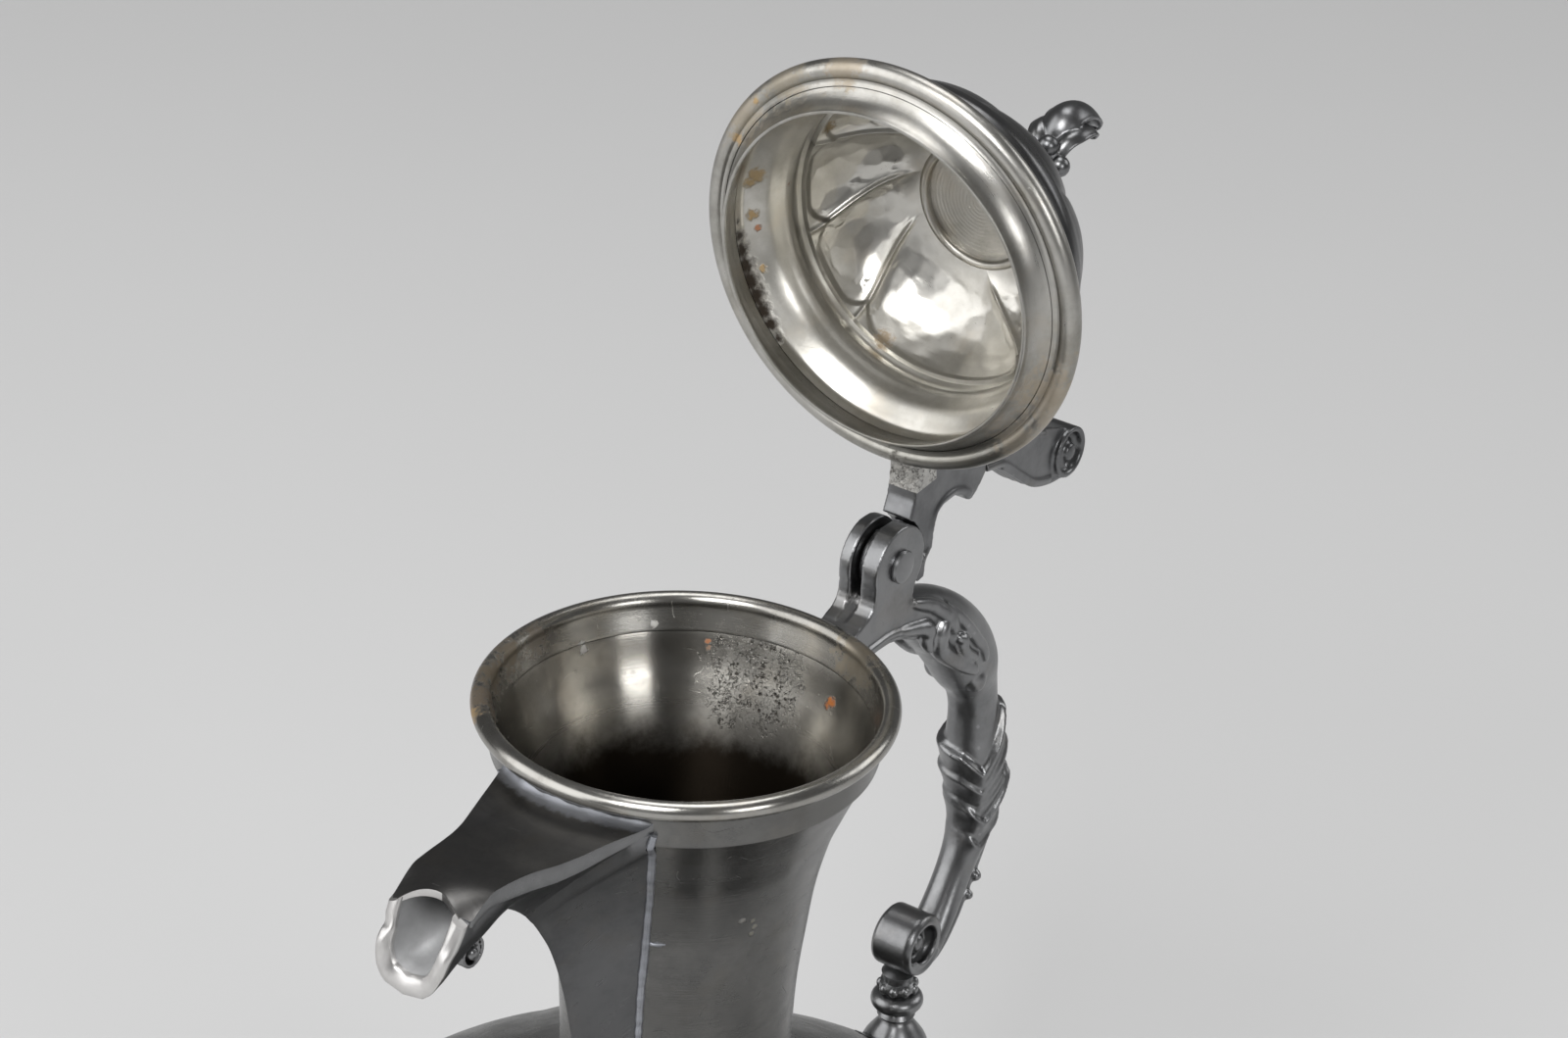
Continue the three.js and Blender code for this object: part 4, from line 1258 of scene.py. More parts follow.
@dataclass
class Foot:
    """The domed foot, the collar that joins it to the belly, and the disc that closes it."""

    ring: float = 49.5
    top: float = -201.0
    slope: Rows = ((46.4, 3.6), (45.6, 6), (41.8, 10), (36.6, 12.4), (32.4, 14.2), (30, 16.8))

    def build(self) -> None:
        """Makes and dresses the foot's pieces."""
        floor = -MOUTH_Z
        slope = flow([(r, floor + h) for r, h in self.slope], 6)
        bead = arc((self.ring - 1.7, floor + 1.7), 1.7, -90, 100, 14)
        under = flow([(26, floor + 16.8), (27.6, floor + 12.8), (35.8, floor + 10), (43.2, floor + 4.2)], 5)
        outline = [(44.3, floor), *bead, *slope, *under, (44.3, floor + 3.4)]
        settle("foot_dome", turned(outline), (BELLY,), Body.JUG, ["foot"])
        roll = arc((29.6, self.top - 2.1), 2.3, -88, 88, 14)
        ring = [(24, self.top - 4.2), (29, self.top - 4.2), *roll, (29, self.top + 0.1), (24, self.top + 0.1)]
        settle("foot_ring", turned(ring), (RUBBED_RIM,), Body.JUG, ["foot_collar"])
        disc = turned([(0, floor), (44, floor), (44, floor + 1.6), (38, floor + 1.6), (0, floor + 1.2)])
        settle("foot_disc", disc, (BELLY,), Body.JUG, ["base_disc"])


@dataclass
class Spout:
    """The covered beak: side walls with a keel, a plate over them, a scroll below and solder along the joints."""

    tip_x: float = -62.9
    seam: Rows = (
        (-80.5, 4.0, -25, -81.6, 0.25), (-72, 4.9, -25.4, -72.6, 0.25), (-62, 5.6, -26.9, -61.5, 0.22),
        (-52.9, 6.2, -28.7, -51.5, 0.2), (-44.7, 6.9, -30.4, -43.4, 0.18), (-36, 8.0, -32.4, -36.4, 0.16),
        (-27, 9.4, -34.9, -30, 0.14), (-17.7, 11.5, -37.4, -25.6, 0.12), (-10.2, 13.6, -39.2, -22.8, 0.12),
    )
    edge: Rows = (
        (-28.9, -41.2, -20.3, 0.12, 1.0), (-34, -43.2, -18.4, 0.14, 1.0), (-39, -45.6, -16.6, 0.18, 1.0),
        (-43.5, -48, -15.3, 0.26, 1.0), (-48, -50.6, -14.7, 0.4, 1.0), (-52.8, -54.4, -15.1, 0.62, 1.1),
        (-57, -59.0, -16.9, 0.85, 1.35), (-61.2, -64.0, -19.7, 0.95, 1.8), (-64.8, -68.0, -21.3, 1.0, 2.0),
    )
    half: Profile = Profile((
        (-28.8, 15.1), (-33, 13.3), (-36, 12.2), (-39, 11.2), (-42, 10.2), (-46.5, 9.0), (-50, 8.4),
        (-56, 7.8), (-62, 7.5), (-66.5, 7.3),
    ))
    top: Profile = Profile((
        (-28, -4.3), (-36, -4.5), (-42, -4.95), (-46, -4.9), (-51, -4.25), (-56, -3.9), (-60, -4.0), (-63, -4.5),
        (-66, -5.2),
    ))
    thick: Profile = Profile((
        (-28.5, 1.3), (-36, 2.3), (-41, 2.8), (-47, 3.2), (-52, 3.2), (-56, 2.9), (-60, 2.2), (-62.5, 1.5),
        (-65, 0.9),
    ))
    section: int = 16
    roll: Point = (-56.5, -18.3, 2.95)
    outlet: Point = (-0.93, 0.0, -0.36)

    def build(self) -> None:
        """Makes and dresses all the spout's pieces."""
        walls = (SPOUT_SIDE, SPOUT_LIP, SPOUT_INSIDE)
        settle("spout_walls", self._walls(), walls, Body.JUG, ["spout_body"], 40)
        finishes = (SPOUT_TOP, SPOUT_EDGE, SPOUT_LIP)
        cover = settle("spout_plate", self._plate(), finishes, Body.JUG, ["spout_cover"])
        round_edges(cover, 0.3)
        settle("spout_volute", self._scroll(), (CASTING,), Body.JUG, ["spout_scroll"])
        self._solder()

    def _side(self, edge: Row, keel: Row, half: float, full: float, bow: float) -> np.ndarray:
        """One side of a section, from its upper edge down to the keel.

        Args:
            edge: (x, z) of the upper edge.
            keel: (x, z) of the keel.
            half: half the section's width at its edge.
            full: 0 for a hollow flank, 1 for a round one.
            bow: how far its line is bowed forwards, 1 for a straight one.

        Returns:
            (x, width, z) points.
        """
        k = np.linspace(0, 1, self.section + 1)
        rise = 1 - k**0.8
        corner = 2 + smooth_step(-60, -67, keel[0])
        round_side = np.clip(1 - (1 - rise) ** corner, 0, 1) ** (1 / corner)
        width = half * (full * round_side + (1 - full) * rise**1.35)
        x, z = keel[0] + (edge[0] - keel[0]) * rise**bow, keel[1] + (edge[1] - keel[1]) * rise
        return np.column_stack([x, width, z])

    def _section(self, edge: Row, edge_in: Row, keel: Row, halves: Row, shape: Row, wall: float) -> np.ndarray:
        """A whole section of the wall: outer line from edge to edge, then the inner line back.

        Args:
            edge: (x, z) of the wall's upper edge.
            edge_in: the same on its inner side.
            keel: (x, z) of the keel.
            halves: half the width at the edge, outside and inside.
            shape: how round the flank is and how its line is bowed.
            wall: the wall's thickness.

        Returns:
            A closed ring of points.
        """
        lean = math.hypot(edge[0] - keel[0], edge[1] - keel[1])
        keel_in = tuple(k + (e - k) / lean * wall * 1.25 for k, e in zip(keel, edge))
        full, bow = shape
        outer = self._side(edge, keel, halves[0], full, bow)
        inner = self._side(edge_in, keel_in, halves[1], max(full, 0.2), bow)
        both = [np.vstack([side * np.array([1, -1, 1]), side[-2::-1]]) for side in (outer, inner)]
        return np.vstack([both[0], both[1][::-1]])

    def _walls(self) -> Surface:
        """The side walls, thick at the rounded lip, with a small dent in the far side of the lip.

        Returns:
            A closed surface with side, lip and inside as its finishes.
        """
        rings = []
        grow = 0.05
        for z, half, kx, kz, full in [*flow(self.seam, 5), (-8.4, 14.1, -39.9, -22.0, 0.12)]:
            places = [(-math.sqrt((neck_radius(z)[0] + grow) ** 2 - h**2), z) for h in (half, half - 1.6)]
            rings.append(self._section(places[0], places[1], (kx, kz), (half, half - 1.6), (full, 1.0), 1.3))
        for x, kx, kz, full, bow in flow(self.edge, 6):
            wall = 1.2 + 1.3 * np.clip((-x - 53) / 10, 0, 1)
            half = self.half(x)[0, 0] - 0.3 * smooth_step(-64.0, -61.5, x)
            under = self.thick(x)[0, 0] + 0.05
            top = self.top(x)[0, 0] - under + (under - 0.1) * smooth_step(-62.2, -64.0, x)
            inward = x if x < -29.5 else -math.sqrt((COLLAR_OUTER + 0.3) ** 2 - (half - 1.6) ** 2)
            halves = (half, half - max(1.6, wall))
            ring = self._section((x, top), (inward, top), (kx, kz), halves, (full, bow), wall)
            high = smooth_step(-13.0, -8.0, ring[:, 2])
            ring[:, 2] += (self._lean(ring[:, 1]) - self._drop(ring[:, 0], ring[:, 1])) * high
            rings.append(ring)
        last = len(rings) - 1
        rings += self._lip(rings[-1])
        walls = skin(rings)
        x, y, z = walls.points.T
        y += 0.145 * np.maximum(0, -6 - z) * smooth_step(-56.0, -66.0, x)
        around, side = 4 * self.section + 2, 2 * self.section
        body = (len(rings) - 1) * around
        for i in range(len(walls.faces)):
            ring, column = divmod(i, around)
            if i >= body:
                walls.finish[i] = (i - body) % 2
            elif ring >= last - 1:
                walls.finish[i] = 1
            elif side < column < around - 1 and walls.points[walls.faces[i][0], 0] < -44:
                walls.finish[i] = 2
        dent = np.exp(-(((y - 7.2) / 2.4) ** 2) - (((z + 11.6) / 1.5) ** 2)) * smooth_step(-62.0, -66.0, x)
        x += 0.45 * dent
        y -= 0.5 * dent
        x += 0.1 * np.sin(z * 1.7 + y * 0.9) * np.sin(y * 2.3 + 1.0) * smooth_step(-63.5, -66.0, x)
        return walls

    def _lip(self, ring: np.ndarray) -> list[np.ndarray]:
        """Rings beyond the last section that round off the lip.

        Args:
            ring: the last section.

        Returns:
            The rings.
        """
        middle = 0.5 * (ring + ring[::-1])
        out = ring - middle
        reach = np.minimum(np.linalg.norm(out, axis=1), 0.75)[:, None]
        ahead = np.array(self.outlet)
        return [middle + out * math.cos(a) + ahead * reach * math.sin(a) for a in np.radians((20, 40, 58, 74, 85))]

    def _lean(self, y: np.ndarray) -> np.ndarray:
        """How much higher the near side of the spout stands than the far one."""
        return -0.45 * np.clip(y / 8.0, -1, 1)

    def _drop(self, x: np.ndarray, y: np.ndarray) -> np.ndarray:
        """How far the plate's sides bend down near the tip."""
        return 0.048 * np.minimum(y**2, 60) * smooth_step(-58.0, -66.0, x)

    def _on_top(self, s: float, across: np.ndarray) -> np.ndarray:
        """Points of the plate's top, with solder drawn up to the collar, at shares of its length and half width.

        Args:
            s: the share of the plate's length, from the collar.
            across: shares of its half width, -1 to 1.

        Returns:
            The points.
        """
        side_x = -28.8 + (self.tip_x + 28.8) * s
        half = self.half(side_x)[0, 0] - 1.7 * smooth_step(0.93, 1.0, s)
        back = -np.sqrt((COLLAR_OUTER + 0.03) ** 2 - (across * 15.1) ** 2)
        y = across * half
        tip = self.tip_x - 0.062 * (y + 0.6) ** 2 - 0.35 * smooth_step(-0.6, -4.0, y) * smooth_step(-6.2, -4.0, y)
        x = back + (tip - back) * s
        sag = 0.3 * (1 - across**2) * min(s * 4, 1.0) * (1 - 1.3 * bump(s, 0.5, 0.25))
        solder = (1.25 + 0.2 * np.sin(y * 0.9 + 0.5) + 0.1 * np.sin(y * 2.3)) * (1 - 0.5 * np.abs(across) ** 4)
        z = self.top(x)[:, 0] + sag + self._lean(y) - self._drop(x, y) + solder * np.exp((x - back) / 0.85)
        return np.column_stack([x, y, z])

    def _plate(self) -> Surface:
        """The plate over the spout, hollowed at the back to fit round the collar and notched at the tip.

        Returns:
            A closed surface with top, edge and front as its finishes.
        """
        across = np.sin(np.linspace(-0.5, 0.5, 45) * math.pi)
        rings = []
        ends = np.linspace(0, 0.1, 14, endpoint=False), np.linspace(0.9, 1, 14)
        for s in np.concatenate([ends[0], np.linspace(0.1, 0.9, 56, endpoint=False), ends[1]]):
            upper = self._on_top(s, across)
            below = np.minimum(upper[:, 2], self.top(upper[:, 0])[:, 0] + 0.5) - self.thick(upper[:, 0])[:, 0]
            under = np.column_stack([upper[:, :2], below])
            rings.append(np.vstack([upper, under[::-1]]))
        cover = skin(rings)
        around = 2 * len(across)
        edges = {len(across) - 1: 1, around - 1: 1}
        body = (len(rings) - 1) * around
        cover.finish = [edges.get(k % around, 0) for k in range(body)]
        for k, face in enumerate(cover.faces[body:]):
            on_lip = k % 2 and np.mean(cover.points[list(face), 1]) >= -1.1
            cover.finish.append(2 if on_lip else 0)
        return cover

    def _scroll(self) -> Surface:
        """The small roll below the keel, its sheet's edge curled about a boss.

        Returns:
            A closed surface.
        """
        cx, cz, radius = self.roll
        turns = np.linspace(0, 1.4 * TURN, 50)
        radii = radius * (1 - 0.42 * turns / turns[-1])
        rings = []
        for turn, r in zip(turns, radii):
            out = np.array([math.cos(1.1 - turn), math.sin(1.1 - turn)])
            corners = [(0.0, -2.0), (0.0, 1.9), (0.6, 1.9), (0.6, -2.0)]
            rings.append(np.array([(cx + out[0] * (r - d), y, cz + out[1] * (r - d)) for d, y in corners]))
        face = [(0, -2.6), (0.5, -2.55), (1.0, -2.2), (1.2, -1.5)]
        boss = cross_bar(cx, cz, [*face, *[(r, -h) for r, h in reversed(face)]], 24)
        corners = ((-2.4, 1.0), (2.8, -0.4), (3.0, 1.2), (4.4, 3.2), (-0.8, 2.8))
        web = plate([(cx + x, cz + z) for x, z in corners], -1.3, 1.3)
        return fused(together([skin(rings), boss, web]), 0.15, 3)

    def _solder(self) -> None:
        """Uneven solder along both seams with the neck."""
        rows = flow(self.seam, 4)
        x = -np.sqrt((neck_radius(rows[:, 0]) + 0.15) ** 2 - rows[:, 1] ** 2)
        for side, name in ((-1, "near"), (1, "far")):
            line = np.column_stack([x - 0.1, side * (rows[:, 1] + 0.25), rows[:, 0]])
            line = np.vstack([line, [-29.2, side * 15.0, -7.6], [-28.8, side * 15.4, -5.4]])
            line[:, :2] *= 0.992
            start = Surface(line, [], edges=[(i, i + 1) for i in range(len(line) - 1)])
            seam = solder_rule("solder_seam", 0.66, 0.34, SOLDER).applied(start)
            settle("solder_seam_" + name, seam, (SOLDER,), Body.JUG, [])
        spur = flow([(-20.9, -8.3, -32.3), (-20.3, -9.8, -32.5), (-19.3, -11.4, -32.3)], 6)
        spur_cord = cord(spur, 0.42 - 0.2 * np.linspace(0, 1, len(spur)))
        settle("solder_spur", spur_cord, (SOLDER,), Body.JUG, [])


def round_edges(piece: bpy.types.Object, width: float, limit: float = 50.0) -> None:
    """Bevels a piece's sharp edges in its own mesh.

    Args:
        piece: the piece.
        width: the bevel's width in millimetres.
        limit: the angle in degrees over which an edge is bevelled.
    """
    net = bmesh.new()
    net.from_mesh(piece.data)
    sharp = [e for e in net.edges if e.is_manifold and e.calc_face_angle(0.0) > math.radians(limit)]
    size = {"offset": width * MM, "segments": 2, "profile": 0.5}
    bmesh.ops.bevel(net, geom=sharp, affect="EDGES", clamp_overlap=True, **size)
    net.to_mesh(piece.data)
    net.free()
    piece.data.shade_smooth()
    piece.data.set_sharp_from_angle(angle=math.radians(CRISP))


# Handle and hinge


@dataclass(frozen=True)
class Cuff:
    """A leaf edge lying round the grip, lowest at one angle and rising to both sides of it."""

    low: float
    at: float
    left: float
    right: float
    height: float
    length: float
    fade: float = 0.0

    def swell(self, degrees: np.ndarray, z: np.ndarray) -> np.ndarray:
        """How far the leaf stands out at places round the grip, in millimetres.

        Args:
            degrees: angles round the grip.
            z: heights.

        Returns:
            The swell at each place.
        """
        away = np.mod(degrees - self.at + 180, 360) - 180
        right = self.right * np.interp(away, (0, 12, 40, 73, 110, 150), (0, 0.16, 0.59, 1, 1.05, 0.8))
        left = self.left * np.interp(-away, (0, 12, 40, 90), (0, 0.27, 0.8, 1))
        far = smooth_step(120, 180, np.abs(away))
        mean = 0.5 * (0.8 * self.right + self.left)
        edge = self.low + np.where(away > 0, right, left) * (1 - far) + mean * far
        below = edge - z
        strong = 1 - self.fade * smooth_step(-15, -60, away)
        return self.height * strong * smooth_step(-0.7, 0.5, below) * np.exp(-np.maximum(below, 0) / self.length)


@dataclass
class Handle:
    """The cast handle: ears, bracket, scrolled knee, leafed grip and volute, with its post and pin."""

    belly: Belly
    grip: Rows = (
        (52, -8.6, 3.2, 3.6), (58.5, -9.6, 3.9, 4), (64.5, -11.6, 4.5, 4.3), (70.5, -14.9, 5.6, 5.2),
        (76.4, -19.4, 6.4, 5.9), (81.6, -25, 6.7, 6.2), (85.6, -31, 6.3, 5.8), (88.2, -36.2, 4.9, 4.7),
        (89.5, -41, 4.5, 4.4), (90.2, -46, 4.8, 4.7), (90.6, -50, 5.2, 5.2), (91.0, -54, 5.3, 5.2),
        (91.5, -58, 5.1, 4.9), (91.8, -62, 4.9, 4.5), (91.7, -66, 4.6, 4.0), (90.8, -70.5, 4.3, 3.7),
        (89.2, -74.6, 4.1, 3.6), (86.6, -79, 3.9, 3.6), (82.8, -84.2, 3.6, 3.8), (78.6, -88.2, 3.1, 4),
        (74.4, -90, 2, 3.9),
    )
    cuffs: tuple[Cuff, ...] = (
        Cuff(-53.6, -127, 4.2, 11.0, 1.7, 4.2), Cuff(-58.2, -130, 3.6, 8.4, 0.95, 3.6),
        Cuff(-62.8, -140, 2.6, 5.0, 0.7, 4.6, 0.2), Cuff(-65.8, -114, 4.0, 9.5, 1.4, 3.8, 0.8),
        Cuff(-71.4, -108, 3.0, 6.5, 1.05, 3.2, 0.9),
    )
    knee: tuple[tuple[float, float, Rows], ...] = (
        (1.2, 0.1, ((60.4, -6.6), (65.9, -9.3), (69.3, -11.9), (71.4, -14.5), (72.4, -17.0))),
        (0.95, 0.2, ((70.6, -11.0), (73.6, -14.3), (76.8, -18.3), (78.9, -21.2), (81.0, -23.6), (82.4, -27.0))),
        (1.45, 0.3, (
            (69.6, -13.6), (68.7, -15.4), (68.7, -17.6), (70.2, -20.2), (73.2, -23.0), (76.2, -25.5), (80.0, -28.4),
        )),
        (0.95, 0.25, ((73.2, -18.6), (74.9, -19.6), (75.0, -21.4), (76.6, -23.2), (79.4, -25.2))),
        (1.2, 0.1, ((57.1, -10.9), (61.6, -12.2), (64.4, -13.1), (65.6, -14.6), (65.6, -16.6), (66.9, -19.0))),
    )
    knobs: Rows = (
        (82.6, 4.3, -31.8, 2.1, 1.3), (84.4, 3.0, -30.2, 1.7, 1.2), (90.2, 2.9, -78.6, 1.15, 1.0),
        (88.0, 3.0, -81.8, 0.95, 1.0),
    )
    volute: Pair = (72.0, -84.5)
    roll: float = 6.0
    post_x: float = 70.0

    def build(self) -> None:
        """Makes and dresses the casting, its post and the pin."""
        parts = [self._grip(), *self._bracket(), *self._volute()]
        for side in (-1, 1):
            parts += self._leaves(side)
        settle("handle_casting", fused(together(parts)), (CASTING,), Body.JUG, ["handle"], 60)
        settle("post_turning", self._post(), (CASTING,), Body.JUG, ["handle_post"])
        settle("pin_rivet", self._pin(), (CASTING,), Body.JUG, ["hinge_pin"])
        self._beads()

    def _stations(self) -> tuple[np.ndarray, np.ndarray]:
        """Fine stations of the grip and the outward direction at each.

        Returns:
            Rows of x, z, depth and width, and the directions.
        """
        line = flow(self.grip, 9)
        ahead = headings(line[:, :2])
        return line, np.column_stack([-ahead[:, 1], ahead[:, 0]])

    def _grip(self) -> Surface:
        """The swept grip with its leaf cuffs and the groove between its two lower ridges.

        Returns:
            A closed surface.
        """
        line, outward = self._stations()
        angles = np.arange(96) * TURN / 96
        cos, sin = np.cos(angles), np.sin(angles)
        square_cos, square_sin = [np.sign(v) * np.abs(v) ** 0.88 for v in (cos, sin)]
        rings = []
        degrees = np.degrees(np.arctan2(sin, cos))
        for (x, z, deep, wide), (nx, nz) in zip(line, outward):
            extra = sum(cuff.swell(degrees, z + nz * deep * cos * 0.5) for cuff in self.cuffs)
            low = smooth_step(-67, -73, z) * (1 - smooth_step(-87.5, -90, z))
            extra = extra - 1.5 * low * bump(np.abs(degrees), 74, 12)
            away = deep * square_cos + extra * cos
            rings.append(np.column_stack([x + nx * away, wide * square_sin + extra * sin, z + nz * away]))
        return skin(rings)

    def _on_side(self, x: float, z: float, sink: float) -> float:
        """Half the grip's width at a place seen from the side, less a depth.

        Args:
            x: the place's x.
            z: its height.
            sink: the depth.

        Returns:
            The distance from the middle.
        """
        line, outward = self._stations()
        i = int(np.argmin((line[:, 0] - x) ** 2 + (line[:, 1] - z) ** 2))
        off = abs((x - line[i, 0]) * outward[i, 0] + (z - line[i, 1]) * outward[i, 1]) / line[i, 2]
        return max(0.4, line[i, 3] * (1 - min(off, 1.0) ** 2.2) ** 0.45 - sink)

    def _leaves(self, side: int) -> list[Surface]:
        """Ridges of the knee's leaf and of the bracket's rib, on one side.

        Args:
            side: -1 for the near side and 1 for the far one.

        Returns:
            The ridges.
        """
        made = []
        for radius, proud, marks in self.knee:
            line = flow(marks, 5)
            sides = np.array([self._on_side(x, z, 0.0) for x, z in line]) + proud
            t = np.linspace(0, 1, len(line))
            radii = 1.15 * radius * (0.55 + 0.6 * np.sin(math.pi * t) ** 0.6)
            made.append(cord(aside(line, side * np.maximum(sides, 4.1)), radii))
        made += [ball(x, side * y, z, radius, flat) for x, y, z, radius, flat in self.knobs]
        rib = flow([(38, -11.6), (45, -10.6), (52.7, -10.1), (57.4, -10.9)], 5)
        made.append(cord(aside(rib, side * 3.95), 0.75))
        return made

    def _bracket(self) -> list[Surface]:
        """The web soldered to the neck and the two ears that stand on it.

        Returns:
            The web, both ears and the drop of solder between them.
        """
        top = flow([(50.6, -2.2), (48.4, -3.6), (45.4, -4.9), (41, -5.8), (36, -5.3), (31.9, -4.3)], 5)
        bottom = [(27.4, -16.6), (32, -14.3), (38, -13.2), (45, -12.4), (52, -11.8), (57, -12.6), (62, -14.8)]
        right = [(68, -15), (66.6, -10), (63, -8.2), (61.0, -6.4), (60.2, -4.2), (60.6, -2.9)]
        left = [(31.8, -8.0), (30.5, -8.8), (28.6, -12.6)]
        outline = [*flow(bottom, 5), *right, (52.0, -2.4), *top, *left]
        parts = [plate(outline, -4, 4)]
        disc = arc((HINGE_X, HINGE_Z), 7.3, -32, 196, 44)
        ear = [(43.6, -6.6), (60.4, -6.6), (60.8, -3.2), *disc]
        ear += [(48.8, -1.4), (48.2, -2.9), (46.9, -4.1), (44.8, -4.9)]
        parts += [plate(ear, -4, -0.6), plate(ear, 1.6, 4)]
        parts.append(ball(50.3, -0.2, -2.6, 0.85))
        return parts

    def _volute(self) -> list[Surface]:
        """The roll with a boss sunk in each side, and the thin ridge that winds round it.

        Returns:
            The roll and a ridge for each side.
        """
        x, z = self.volute
        half = [(self.roll - 0.5, -4.0), (self.roll, -3.5), (self.roll, 3.5), (self.roll - 0.5, 4.0)]
        face = [(4.2, 4.0), (3.3, 1.6), (2.2, 1.5), (1.9, 2.4), (1.2, 3.1), (0, 3.3)]
        outline = [(r, -h) for r, h in reversed(face)] + half + face
        parts = [cross_bar(x, z, outline, 72)]
        turns = np.linspace(0, 1.3 * TURN, 60)
        reach = self.roll - 0.35 - 1.9 * turns / turns[-1]
        for side in (-1, 1):
            spiral = np.column_stack([x + reach * np.cos(-0.6 - turns), z + reach * np.sin(-0.6 - turns)])
            parts.append(cord(aside(spiral, side * 3.8), 0.6))
        return parts

    def _post(self) -> Surface:
        """The turned post, its bell standing on the creased shoulder.

        Returns:
            A closed surface.
        """
        bell = flow([(6.9, -109.4), (6.0, -105.6), (4.2, -102.8), (2.9, -101.2)], 5)
        post = turned([
            (0, -125), (7.5, -125), (7.45, -116), (7.3, -112), *bell, (2.7, -100.6), (3.3, -100.3), (3.6, -99.8),
            (3.3, -99.2), (3.0, -98.8), *arc((3.2, -96.7), 1.75, -80, 80, 12), (2.8, -94.9), (3.0, -94.5),
            (3.5, -94.0), (3.6, -93.4), (3.4, -92.8), (2.8, -92.4), (2.7, -91.6), (3.2, -90.6), (0, -88.6),
        ], 72).moved(self.post_x)
        floor = self.belly.height_at(post.points) + 0.12
        post.points[:, 2] = np.maximum(post.points[:, 2], floor)
        return post

    def _beads(self) -> None:
        """Small beads round the post's waist."""
        angles = np.arange(9) * TURN / 9
        ring = np.column_stack([self.post_x + 3.1 * np.cos(angles), 3.1 * np.sin(angles), np.full(9, -93.6)])
        beads = ring_of_beads("post_beads", 12, 0.06, 0.95, 1.15, CASTING).applied(Surface(ring, []))
        settle("post_bead_ring", beads, (CASTING,), Body.JUG, [])

    def _pin(self) -> Surface:
        """The rivet, with a low domed head on the near side.

        Returns:
            A closed surface.
        """
        half = [(0, -4.8), (1.5, -4.8), (2.3, -4.7), (2.5, -4.3), (1.55, -4.2), (1.55, 4.2)]
        head = [(2.95, 4.05), (3.05, 4.5), (2.8, 4.85), (2.2, 5.0), (1.2, 5.06), (0, 5.08)]
        return cross_bar(HINGE_X, HINGE_Z, [*half, *head], 48)


# Lid


